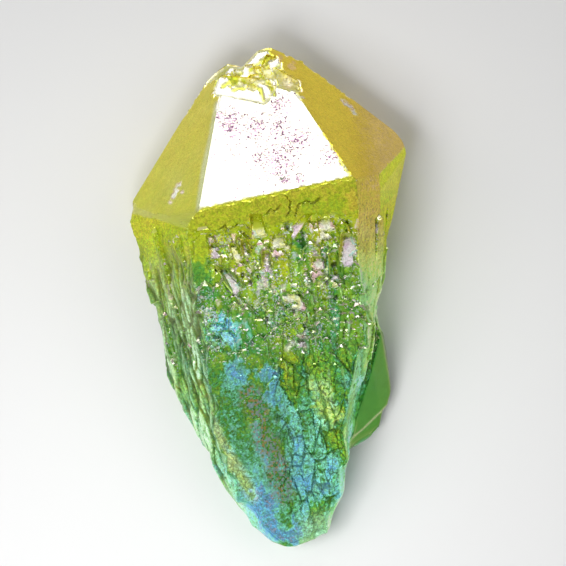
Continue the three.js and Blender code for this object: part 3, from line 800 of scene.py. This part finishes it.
def coating(s):
    """The coating's thickness, 0..1, at each point."""
    p, at, x, y = s.p, s.at, s.x, s.y
    wobble = rough(p, 1.4, 301)
    slow = rough(p, 5.0, 311)
    mottle = rough(p, (1.1, 2.3, 1.1), 306)
    low = smooth(-8, -20, y)
    amount = np.interp(y, *zip(*ALONG))
    amount += (0.015 + 0.04 * low) * slow + (0.01 + 0.04 * low) * wobble
    amount += (0.02 + 0.13 * smooth(-12, -20, y)) * mottle
    front = most(smooth(0.5, 0.8, s.n[:, 2]), smooth(0.1, 0.4, s.n[:, 2]) * smooth(-29, -31, y))
    ragged = 1.3 * rough(p, (0.7, 1.3, 0.7), 308) + 0.6 * noise(p, 0.28, 309)
    for path, half, value, strength in STREAKS:
        far = line_distance(p, path) / half + 0.5 * wobble + ragged
        amount += (value - amount) * strength * smooth(1.5, 0.5, far) * front
    amount = most(amount, THINNEST_LOW * front * smooth(-10, -14, y))
    bevel = at.bevel * smooth(-16, -9, y)
    amount += (BEVEL_COAT + 0.03 * slow - amount) * bevel * smooth(-12, -2, y)
    right_tip = at.tip * smooth(0.3, 0.5, s.n[:, 0])
    amount += (RIGHT_TIP_COAT - 0.08 * smooth(9, 14, x) - amount) * right_tip
    amount += (FLAKE_COAT + 0.01 * slow - amount) * at.flake
    far_right = at.right * smooth(0.84, 0.9, s.n[:, 0]) * smooth(-9, -5, y)
    return amount + (FAR_RIGHT_COAT - amount) * far_right


def lime_plates(p):
    return smooth(1.8, 0.5, line_distance(p, LIME_PLATES) + 1.2 * rough(p, 0.9, 345))


def pale_sides(s, strip):
    """How far the coating pales along the sides, strip by strip."""
    at, y = s.at, s.y
    right = at.right * (1 - at.bevel)
    pale = (at.left + right) * (0.05 + 0.65 * smooth(0.4, 0.65, strip)) * smooth(-4, -11, y)
    pale += 0.12 * at.left * smooth(-12, -16, y)
    # Painted highlight: surfaces of the lower left side that face far to the left, towards the left lamp,
    # pale to mint.
    pale = most(pale, 0.55 * smooth(-0.8, -0.95, s.n[:, 0]) * smooth(-9, -12, y))
    pale = most(pale, 0.6 * right * smooth(-6.5, -9, y) * smooth(-17, -14, y))
    pale += 0.3 * at.bevel * smooth(0, -8, y)
    return pale * (1 - 0.55 * smooth(-23, -28, y) * at.left)


def painted_dome_highlight(s):
    """A pale arc on the dome's side towards the tip, where the lamps are: a painted highlight."""
    x_dome, y_dome, radius = DOME
    arc = smooth(0.3, 0.1, np.abs(np.hypot(s.x - x_dome, s.y - y_dome) / radius - 0.85))
    return arc * smooth(y_dome + 0.1, y_dome + 0.6, s.y) * smooth(0.2, 0.5, s.n[:, 2])


def pale_rims(s, ids):
    """How far the coating pales to cream or mint: on the sides and along some edges. The dome's arc, the
    far left-facing edges and the flake's rim are painted highlights.
    """
    p, at = s.p, s.at
    slow = rough(p, 3.0, 321)
    pale = most(
        pale_sides(s, ids.strip),
        0.45 * smooth(-32.5, -34.5, s.y) * smooth(-1.5, 1.0, s.x),
        0.4 * smooth(1.1, 0.4, line_distance(p, YELLOW_STREAK)) * at.low,
        0.3 * lime_plates(p) * at.low,
        0.9 * painted_dome_highlight(s),
        0.12 * at.tip * smooth(-0.3, -0.6, s.n[:, 0]),
    )
    # A pale line along the tip's left edge, and along the flake's chipped rim a painted edge highlight.
    edge = most(on_lines(p, [TIP_LEFT_EDGE], 0.45, 0.15) * at.tip,
                on_lines(p, [FLAKE_RIM], 0.3, 0.12, 0.1 * slow) * at.flake)
    return np.clip(most(pale * (1 + 0.6 * slow), 0.7 * edge), 0, 1)


class Corners:
    """The surface at every triangle corner: its place and zones, the ids and depth of its relief,
    its flat face's direction before carving and its own after, and a random number by face."""

    def __init__(self, s, triangles, tri_normals, carved_normals, owners, ids, depth):
        self.s = s
        self.corner = triangles.ravel()
        self.x, self.y = self.spread(s.x), self.spread(s.y)
        self.at, self.ids = self.spread_all(s.at), self.spread_all(ids)
        self.depth = self.spread(depth)
        self.face, self.carved = tri_normals.repeat(3, axis=0), carved_normals.repeat(3, axis=0)
        face_numbers = np.random.default_rng(FACE_SEED).random(owners.max() + 1)
        self.random = face_numbers[owners].repeat(3)
        self.add_places()
        self.add_facets()

    def spread(self, values):
        """Values of points, handed to their corners."""
        return values[self.corner]

    def spread_all(self, group):
        return SimpleNamespace(**{name: self.spread(values) for name, values in vars(group).items()})

    def rough(self, size, seed):
        return self.spread(rough(self.s.p, size, seed))

    def add_places(self):
        """Single places with a look of their own, 0..1."""
        p, x, y = self.s.p, self.s.x, self.s.y
        x_blue, y_blue, radius = BLUE_PATCH
        self.blue_patch = self.spread(smooth(radius, radius - 0.8, np.hypot(x - x_blue, y - y_blue)))
        self.streaked = self.spread(smooth(1.3, 0.5, line_distance(p, YELLOW_STREAK)))
        plain = smooth(0.35, 0.6, blobs(p, PLAIN_CREST) + 0.3 * rough(p, 0.8, 335)
                       + 0.25 * rough(p, 0.35, 336))
        plain = most(self.spread(plain), self.ids.crest_line, 0.6 * self.ids.fold)
        self.crest_pearl = self.at.crest * (1 - 0.95 * plain)

    def add_facets(self):
        """Kinds of facets, 0..1: flat ends on the front, faces of the tip, and those that glint."""
        at, face, carved, y = self.at, self.face, self.carved, self.y
        # Flat slot ends that face the tip side lamp. They take the coating's lilac and pink tones, and
        # are painted paler and lighter as a painted highlight.
        slot_facet = smooth(0.25, 0.3, face[:, 1]) * smooth(-1.2, -2.2, y) * smooth(0.5, 0.7, face[:, 2])
        self.slot_facet = slot_facet * smooth(-16.5, -15, y) * smooth(-2.7, -3.2, y)
        self.small_tip = smooth(0.45, 0.55, face[:, 1]) * smooth(-0.5, -1.5, y)
        # The tip's front face. Its colour is painted near white: a painted reflection of the tip window
        # lamp.
        self.window = same_face(face, FRONT_TIP) * smooth(-1, 0, y)
        steep = most(same_face(face, LEFT_TIP), same_face(face, RIGHT_TIP)) * at.tip
        self.right_side = at.right * (1 - at.bevel)
        shoulder = at.left * smooth(-7, -1, y)
        self.veiled = np.clip(steep + shoulder + at.flake + self.right_side, 0, 1)
        # Carved facets that mirror the tip window lamp. In the middle they take a pale pearly tone, a
        # painted highlight; flat_glint marks those made duller and less metallic instead.
        glinting = smooth(0.38, 0.5, carved[:, 1]) * smooth(0.4, 0.55, carved[:, 2])
        glinting *= smooth(-0.8, -1.4, y)
        self.flat_glint = glinting * most(
            at.band, at.left * smooth(-6, -4, y), smooth(-3.4, -2.8, y), smooth(-18, -19, y))
        self.glinting = glinting * smooth(-19, -15, y) * smooth(-1.5, -3, y) * (1 - at.band)


def aura_field(c):
    """The coating's thickness, with its changes from one small piece of relief to the next."""
    at, ids = c.at, c.ids
    aura = c.spread(coating(c.s))
    aura += 0.06 * (c.random - 0.5) * np.clip(at.mid + at.low + at.left + at.right, 0, 1)
    aura += at.mid * (0.09 * (ids.coarse - 0.5) + 0.05 * (ids.fine - 0.5))
    aura += at.low * 0.10 * (ids.plate - 0.5)
    aura = most(aura, (THINNEST_LOW - 0.04) * at.low * (1 - 0.3 * c.streaked))
    aura += (at.left + at.right) * 0.12 * (0.5 - ids.strip) * smooth(-3, -9, c.y)
    aura += (CREST_COAT - aura) * at.crest
    aura += 0.12 * at.crest * c.rough(0.5, 337)
    aura += (CREST_LINE_COAT - aura) * ids.crest_line
    rosy = smooth(0.4, 0.6, blobs(c.s.p, ROSY_SPOTS) + 0.35 * noise(c.s.p, 0.45, 338))
    return aura + (ROSY_COAT - aura) * c.spread(rosy) * at.tip * (1 - c.window)


def pearl_and_glint_field(c):
    """How far a pale pearly tone takes the place of the coating's colour. On the crest, the nicks, the
    small dome and the slot facets it is the crystal's own tone; on the tip's front face it is a painted
    reflection, and on glinting facets, slot facets and pearly grains it is painted highlight and sparkle.
    """
    off_blue = 1 - 0.8 * c.blue_patch
    return most(
        # Slot facets: their own lilac tone with painted highlight.
        c.slot_facet * (1 - c.small_tip) * off_blue,
        c.crest_pearl,
        # Painted reflection: the tip's front face takes the white tone, except on its worn edges.
        c.window * (1 - c.ids.edge_wear),
        # Painted highlight on carved facets that mirror the tip window lamp.
        0.8 * c.glinting,
        c.ids.nick,
        # Pearly grains: partly their own pearly tone, partly painted sparkle.
        0.75 * c.ids.pearly * off_blue,
        0.8 * c.spread(blobs(c.s.p, [SMALL_DOME]) ** 2),
    )


def pearl_hue_field(c):
    """The place of each pearly facet's tone in PEARL_AND_GLINT_TONES."""
    hue = (c.random + 0.35 * c.rough(0.8, 331)) % 1
    hue = np.where(c.blue_patch > 0.5, 0.9 + 0.1 * c.random, hue)
    hue = np.where(c.at.crest > 0.5, 0.75 + 0.1 * c.rough(0.9, 333), hue)
    # The tip's front face and the nicks take the white tone: on the face a painted reflection of the tip
    # window lamp, on the nicks their own white.
    return np.where((c.window > 0.5) | (c.ids.nick > 0.01), 0.65, hue)


def light_field(c):
    """How light the colour is, zone by zone."""
    at, ids, x, y = c.at, c.ids, c.x, c.y
    light = 1.06 + 0.15 * c.blue_patch + 0.3 * ids.crest_line + 0.6 * ids.nick
    # The crest is made lighter: its own pale cream, and painted light on the top of the tip.
    light += 0.1 * at.bevel + 0.15 * smooth(-30, -33, y) + 0.55 * (c.crest_pearl + at.crest)
    # Chips differ in lightness at random; slot facets and pearly grains are made lighter as painted
    # highlight and sparkle.
    light += at.mid * (0.45 * (ids.chip - 0.44) + 0.3 * ids.pearly + 0.45 * c.slot_facet)
    light += at.band * (0.06 + 0.04 * smooth(-3, -5, x))
    light += at.left * (1.1 * (ids.strip - 0.48) * smooth(-1, -5, y) + 0.5 * smooth(-12, -18, y))
    light += 0.35 * c.right_side * (ids.strip - 0.1) + 0.9 * at.right * smooth(-6, -9, y)
    striae = c.rough((0.3, 3.0, 0.3), 349)
    light += 0.25 * striae * (at.left + at.right) * smooth(-1, -5, y)
    light += at.low * (0.3 * c.streaked + 0.55 * c.spread(lime_plates(c.s.p))
                          + 0.2 * smooth(1, 4, x) - 0.2 * smooth(1, -1, x))
    light += at.tip * (0.03 * smooth(6, 8, x) - 0.19 * smooth(9, 12, x)
                          + 0.09 * c.rough(1.2, 353) * (1 - c.window))
    return light - 0.14 * at.flake * (1 + c.rough(1.6, 347))


def metal_field(c):
    """How metallic the coating looks."""
    at = c.at
    metal = (0.35 + 0.35 * (c.veiled - at.crest) - 0.2 * (at.low + at.mid + c.slot_facet)
             - 0.27 * c.window)
    return metal * (1 - c.ids.nick) * (1 - c.flat_glint)


def grain_field(c):
    """How grainy the colour and the fine bumps are."""
    at = c.at
    return (c.ids.grainy + 0.32 * at.low + 0.5 * at.left + 0.4 * at.right + 0.35 * at.band
            + 0.5 * at.crest + 0.2 * at.tip * (1 - c.window) + 0.4 * c.slot_facet
            + 0.5 * c.blue_patch)


def coat_field(c):
    """How glossy the clear coat is."""
    at = c.at
    uncoated = c.small_tip + c.veiled + at.crest + c.ids.edge_wear
    return 1 - np.clip(uncoated + 0.6 * at.right + 0.5 * at.low + 0.6 * c.slot_facet, 0, 1)


def dull_field(c):
    """How much duller than plain the surface is."""
    at = c.at
    on_sides = (at.right + 0.6 * at.left) * smooth(0, -3, c.y)
    return 2 * c.flat_glint + np.clip(at.low + at.crest + c.ids.edge_wear + on_sides, 0, 1)


def rusty_field(c):
    far = line_distance(c.s.p, RUSTY_BAND) + 0.8 * rough(c.s.p, 1.0, 341)
    return c.at.low * c.spread(smooth(1.6, 0.5, far))


def fields_of(c, ids, depth):
    """What the material reads at each corner, by name."""
    at, p = c.at, c.s.p
    on_sides = np.clip(at.left + 0.7 * at.right, 0, 1)
    speckles = most(blobs(p, SPECKLES), 0.16 * blobs(p, [SPECKLE_HAZE]))
    spot = blobs(p, [TIP_SPOT]) * smooth(-0.2, 0.3, noise(p, 0.3, 351))
    return {
        "aura": aura_field(c),
        "pearl_and_glint": pearl_and_glint_field(c),
        "pearl_hue": pearl_hue_field(c),
        "metal": metal_field(c),
        "craze": c.ids.plates * smooth(-35, -33, c.y) + 0.8 * at.low * c.streaked,
        "rusty": rusty_field(c),
        # Pale tones give way in grooves and cracks, under their painted shade.
        "pale": c.spread(pale_rims(c.s, ids) * (1 - 0.9 * depth)),
        "mint": most(on_sides * smooth(-4, -9, c.y), smooth(-30, -32, c.y)),
        # Painted shade: the deeper a point lies in a groove, crack, slot, pit or grain border, the darker
        # its colour.
        "shade": light_field(c) * (1 - (0.8 - 0.1 * at.left - 0.3 * at.right) * c.depth),
        "grain": grain_field(c),
        # Where painted glints show: grainy parts of the middle, most in the blue patch.
        "painted_glints": c.ids.grainy * at.mid * (1 + 2.5 * c.blue_patch),
        "coat": coat_field(c),
        "dull": dull_field(c),
        "speck": c.spread(speckles) * c.window,
        "spot": c.spread(spot) * c.window,
    }


# ---- The crystal ----

def worn_down(points, triangles, normals):
    """The mesh with its root, sides, left corner and left shoulder worn smooth, and how much
    each point belongs to the worn sides."""
    y = points[:, 1]
    side = smooth(0.4, 0.7, np.abs(normals[:, 0])) * smooth(-2, -8, y)
    masks = np.stack([side, most(side, smooth(-20, -27, y))], 1)
    masks = softened(masks, triangles, np.full(len(points), 0.5), 8)
    side, worn = masks.T * smooth(0.05, 0.6, to_row(points)[:, 2])
    points = softened(points, triangles, 0.5 * worn, 6)
    points = softened(points, triangles, 0.6 * worn * smooth(-20, -27, y), 30)
    points = softened(points, triangles, 0.6 * blobs(points, [LEFT_CORNER]), 40)
    shoulder = on_lines(points, [LEFT_SHOULDER], 1.0, 0.2) * smooth(-0.3, -0.5, normals[:, 0])
    return softened(points, triangles, 0.5 * shoulder, 25), side


def crystal_mesh(points, triangles):
    """The carved mesh, held inside the solid's box."""
    row = np.clip(to_row(points), np.array(cad_box[0]) / MM, np.array(cad_box[1]) / MM)
    mesh = bpy.data.meshes.new("aura_quartz_point")
    mesh.from_pydata((row * MM).tolist(), [], triangles.tolist())
    mesh.shade_smooth()
    mesh.set_sharp_from_angle(angle=math.radians(SHARP_DEG))
    return mesh


def build_crystal(obj):
    points, triangles, tri_normals, owners = refined(*flat_faces(obj))
    points, side = worn_down(points, triangles, vertex_normals(points, triangles, tri_normals))
    tri_normals = normals_of(points, triangles)
    surface = Surface(points, vertex_normals(points, triangles, tri_normals))
    move, depth, ids = relief(surface)
    carved = points + surface.n * move[:, None]
    carved = softened(carved, triangles, 0.5 * surface.at.crest, 3)
    carved = softened(carved, triangles, 0.3 * side, 1)
    corners = Corners(surface, triangles, tri_normals, normals_of(carved, triangles), owners, ids, depth)
    mesh = crystal_mesh(carved, triangles)
    for name, values in fields_of(corners, ids, depth).items():
        layer = mesh.attributes.new(name, "FLOAT", "CORNER")
        layer.data.foreach_set("value", np.ascontiguousarray(values, np.float32))
    piece = bpy.data.objects.new("crystal", mesh)
    bpy.context.scene.collection.objects.link(piece)
    return piece


# ---- Material ----

class Nodes:
    """Short calls for building a node tree. Each returns the new node's output."""

    def __init__(self, material):
        material.use_nodes = True
        self.tree = material.node_tree
        self.tree.nodes.clear()

    def new(self, kind, inputs, **settings):
        """A new node's outputs. Each input is a socket to link or a value to set."""
        node = self.tree.nodes.new(kind)
        for key, value in settings.items():
            setattr(node, key, value)
        for key, value in inputs.items():
            if isinstance(value, bpy.types.NodeSocket):
                self.tree.links.new(value, node.inputs[key])
            else:
                node.inputs[key].default_value = value
        return node.outputs

    def math(self, operation, *values):
        return self.new("ShaderNodeMath", dict(enumerate(values)), operation=operation)[0]

    def times(self, a, b):
        return self.math("MULTIPLY", a, b)

    def plus(self, a, b):
        return self.math("ADD", a, b)

    def swing(self, value, size):
        """A value in 0..1 as a change of up to half of size either way."""
        return self.times(self.math("SUBTRACT", value, 0.5), size)

    def remap(self, *values):
        """smooth() of a value from low to high, and from 0..1 to the last two if given."""
        return self.new("ShaderNodeMapRange", dict(enumerate(values)), interpolation_type="SMOOTHSTEP")[0]

    def mix(self, factor, a, b, blend="MIX"):
        return self.new("ShaderNodeMix", {0: factor, 6: a, 7: b}, data_type="RGBA", blend_type=blend)[2]

    def attribute(self, name):
        return self.new("ShaderNodeAttribute", {}, attribute_name=name)["Fac"]

    def separate(self, colour):
        """Three numbers for each cell: its red, green and blue."""
        return self.new("ShaderNodeSeparateColor", {0: colour})

    def ramp(self, factor, table):
        outputs = self.new("ShaderNodeValToRGB", {0: factor})
        stops = outputs[0].node.color_ramp.elements
        while len(stops) < len(table):
            stops.new(0.5)
        for stop, (position, colour) in zip(stops, table):
            stop.position = position
            stop.color = (*colour, 1)
        return outputs[0]

    def noise(self, place, size_mm, roughness=0.55):
        return self.new("ShaderNodeTexNoise", {"Vector": place, "Scale": 1 / (size_mm * MM),
                                               "Detail": 3.0, "Roughness": roughness})[0]

    def voronoi(self, place, size_mm, output="Color", feature="F1"):
        inputs = {"Vector": place, "Scale": 1 / (size_mm * MM)}
        return self.new("ShaderNodeTexVoronoi", inputs, feature=feature)[output]


def coating_colour(t, flecks, fine, grain):
    """The coating's colour by its thickness, paled at the rims and pearly on bright facets. Some pale
    rims and pearly facets are painted highlights, and the tip's front face is a painted reflection.
    """
    shift = t.plus(t.swing(flecks[0], 0.14), t.swing(fine, 0.40))
    shift = t.times(shift, t.plus(grain, 0.06))
    colour = t.ramp(t.plus(t.attribute("aura"), shift), COATING)
    colour = t.mix(t.attribute("pale"), colour, t.mix(t.attribute("mint"), CREAM, MINT))
    pearly = t.ramp(t.attribute("pearl_hue"), PEARL_AND_GLINT_TONES)
    return t.mix(t.times(t.attribute("pearl_and_glint"), 0.85), colour, pearly)


def lit(t, colour, flecks, tiny, grain):
    """The colour made lighter and darker, by fleck and by place; by place carries the painted shade of
    recesses and some painted highlights.
    """
    mixed = t.plus(t.times(flecks[1], 0.45), t.times(tiny[0], 0.55))
    light = t.math("MULTIPLY_ADD", t.remap(mixed, 0.1, 0.9, -0.6, 0.6), grain, 1.0)
    light = t.times(light, t.attribute("shade"))
    gray = t.new("ShaderNodeCombineColor", {0: light, 1: light, 2: light})[0]
    return t.mix(1.0, colour, gray, "MULTIPLY")


def craze_lines(t, place, fine):
    """Fine lines between the plates, longer along the crystal than across it."""
    stretched = t.new("ShaderNodeVectorMath", {0: place, 1: CRAZE_STRETCH}, operation="MULTIPLY")[0]
    edge = t.voronoi(stretched, CRAZE_SIZE, "Distance", "DISTANCE_TO_EDGE")
    edge = t.plus(edge, t.swing(fine, 0.25))
    return t.times(t.remap(edge, 0.045, 0.012), t.attribute("craze"))


def grained(t, place, colour, flecks, tiny, fine, grain):
    """Painted warm and cool glints in grainy places, single dark grains, violet and rusty ones in a band,
    and craze lines.
    """
    painted_glints, rusty = t.attribute("painted_glints"), t.attribute("rusty")
    for mask, strength, tone in (
        (t.times(t.remap(flecks[0], 0.88, 0.91), painted_glints), 0.75, PAINTED_WARM_GLINT),
        (t.math("GREATER_THAN", t.times(painted_glints, 0.23), tiny[1]), 0.7, PAINTED_COOL_GLINT),
        (t.times(t.remap(flecks[0], 0.12, 0.09), grain), 0.6, DARK_FLECK),
        (t.times(t.remap(flecks[1], 0.58, 0.62), rusty), 0.7, VIOLET_FLECK),
        (t.times(t.remap(flecks[2], 0.16, 0.13), rusty), 0.8, RUST_FLECK),
        (craze_lines(t, place, fine), 0.75, CRAZE_TONE),
    ):
        colour = t.mix(t.times(mask, strength), colour, tone)
    return colour


def speckled(t, place, colour):
    """Violet specks in branching strands, a pinker haze round them and one gray spot, all on the
    tip's front face. Returns the colour, where a speck or the spot is, and where the haze is."""
    speck = t.attribute("speck")
    strand = t.math("ABSOLUTE", t.math("SUBTRACT", t.noise(place, SPECK_STRAND, 0.6), 0.5))
    chance = t.times(t.times(speck, t.remap(strand, 0.05, 0.02)), 0.65)
    chance = t.plus(chance, t.times(speck, 0.06))
    hit = t.math("LESS_THAN", t.separate(t.voronoi(place, SPECK))[0], chance)
    haze = t.math("LESS_THAN", t.separate(t.voronoi(place, HAZE_SPECK))[1], t.times(speck, 0.45))
    spot = t.remap(t.attribute("spot"), 0.35, 0.55)
    for mask, tone in ((haze, HAZE_TONE), (hit, SPECK_TONE), (spot, SPOT_TONE)):
        colour = t.mix(mask, colour, tone)
    return colour, t.math("MAXIMUM", hit, spot), haze


def bumped(t, flecks, fine, grain):
    """The normal over the flecks' own fine bumps."""
    height = t.plus(t.times(fine, 0.5), t.times(flecks[2], 0.5))
    return t.new("ShaderNodeBump", {"Distance": BUMP_HEIGHT * MM, "Strength": t.times(grain, 0.7),
                                    "Height": height})[0]


def roughness_of(t, grain, haze, hit):
    roughness = PLAIN_ROUGHNESS
    for mask, more in ((grain, 0.2), (t.attribute("dull"), 0.25), (haze, 0.12), (hit, 0.6)):
        roughness = t.math("MULTIPLY_ADD", mask, more, roughness)
    return roughness


def quartz_material():
    """See-through quartz under a thin metal coating, half metallic and glossy in places."""
    material = bpy.data.materials.new("aura_quartz")
    t = Nodes(material)
    place = t.new("ShaderNodeTexCoord", {})["Object"]
    grain = t.attribute("grain")
    flecks, tiny = t.separate(t.voronoi(place, FLECK)), t.separate(t.voronoi(place, TINY_FLECK))
    fine = t.noise(place, MOTTLE)
    colour = coating_colour(t, flecks, fine, grain)
    colour = lit(t, colour, flecks, tiny, grain)
    colour = grained(t, place, colour, flecks, tiny, fine, grain)
    colour, hit, haze = speckled(t, place, colour)
    plain = t.math("SUBTRACT", 1.0, hit)
    normal = bumped(t, flecks, fine, grain)
    coat = t.times(t.times(t.attribute("coat"), 0.5), plain)
    shader = t.new("ShaderNodeBsdfPrincipled", {
        "Base Color": colour, "Roughness": roughness_of(t, grain, haze, hit), "Normal": normal,
        "Metallic": t.times(plain, t.attribute("metal")), "Specular Tint": MIRROR_TINT,
        "IOR": QUARTZ_IOR, "Transmission Weight": CLEAR_SHARE, "Coat Weight": coat,
        "Coat Roughness": GLOSS_ROUGHNESS, "Coat IOR": GLOSS_IOR, "Coat Normal": normal,
    })[0]
    inside = t.new("ShaderNodeVolumeAbsorption", {"Color": INSIDE_TONE, "Density": INSIDE_DENSITY})[0]
    t.new("ShaderNodeOutputMaterial", {"Surface": shader, "Volume": inside})
    return material


def floor_material():
    material = bpy.data.materials.new("pale_floor")
    t = Nodes(material)
    shader = t.new("ShaderNodeBsdfPrincipled", {"Base Color": FLOOR_TONE, "Roughness": 0.9})[0]
    t.new("ShaderNodeOutputMaterial", {"Surface": shader})
    return material


# ---- Stage ----

def view_axes():
    back = np.array([math.sin(AZIMUTH) * math.cos(ELEVATION),
                     -math.cos(AZIMUTH) * math.cos(ELEVATION), math.sin(ELEVATION)])
    right = np.array([math.cos(AZIMUTH), math.sin(AZIMUTH), 0])
    return right, np.cross(back, right), back


def add_camera():
    right, up, back = view_axes()
    data = bpy.data.cameras.new("camera")
    data.sensor_width = SENSOR
    data.lens = SENSOR * DISTANCE / VIEW_WIDTH
    data.clip_start = CLIP_START
    camera = bpy.data.objects.new("camera", data)
    turn = Matrix([[right[k], up[k], back[k]] for k in range(3)]).to_4x4()
    spot = (to_row(np.array(AIM)) + back * DISTANCE) * MM
    camera.matrix_world = Matrix.Translation(spot) @ turn
    bpy.context.scene.collection.objects.link(camera)
    bpy.context.scene.camera = camera


def add_panel(name, azimuth, elevation, distance, size, radiance, use):
    """A square soft light aimed at the crystal. azimuth 0 is the root side, 90 the right."""
    a, e = math.radians(azimuth), math.radians(elevation)
    away = Vector((math.sin(a) * math.cos(e), -math.cos(a) * math.cos(e), math.sin(e)))
    data = bpy.data.lights.new(name, "AREA")
    data.shape = "SQUARE"
    data.size = size
    data.energy = radiance * math.pi * size * size
    lamp = bpy.data.objects.new(name, data)
    lamp.location = Vector((0, 0, LIT_HEIGHT)) + away * distance
    lamp.rotation_euler = away.to_track_quat("Z", "Y").to_euler()
    lamp.visible_camera = False
    lamp.visible_transmission = use == "all"
    lamp.visible_diffuse = use != "gloss"
    lamp.visible_glossy = use != "diffuse"
    bpy.context.scene.collection.objects.link(lamp)


def add_floor():
    half = FLOOR_HALF
    mesh = bpy.data.meshes.new("floor")
    mesh.from_pydata([(-half, -half, 0), (half, -half, 0), (half, half, 0), (-half, half, 0)], [],
                     [(0, 1, 2, 3)])
    floor = bpy.data.objects.new("floor", mesh)
    bpy.context.scene.collection.objects.link(floor)
    mesh.materials.append(floor_material())


def light_stage():
    scene = bpy.context.scene
    scene.view_settings.view_transform = "Standard"
    scene.world = bpy.data.worlds.new("studio")
    scene.world.use_nodes = True
    background = scene.world.node_tree.nodes["Background"]
    background.inputs["Color"].default_value = (1, 1, 1, 1)
    background.inputs["Strength"].default_value = WORLD_LIGHT
    for panel in PANELS:
        add_panel(*panel)


# ---- Putting it together ----

crystal = build_crystal(bpy.data.objects[NODE] if NODE in bpy.data.objects else frame["nodes"][NODE])
crystal.data.materials.append(quartz_material())
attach(crystal, "root")
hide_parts(NODE)
add_floor()
light_stage()
add_camera()
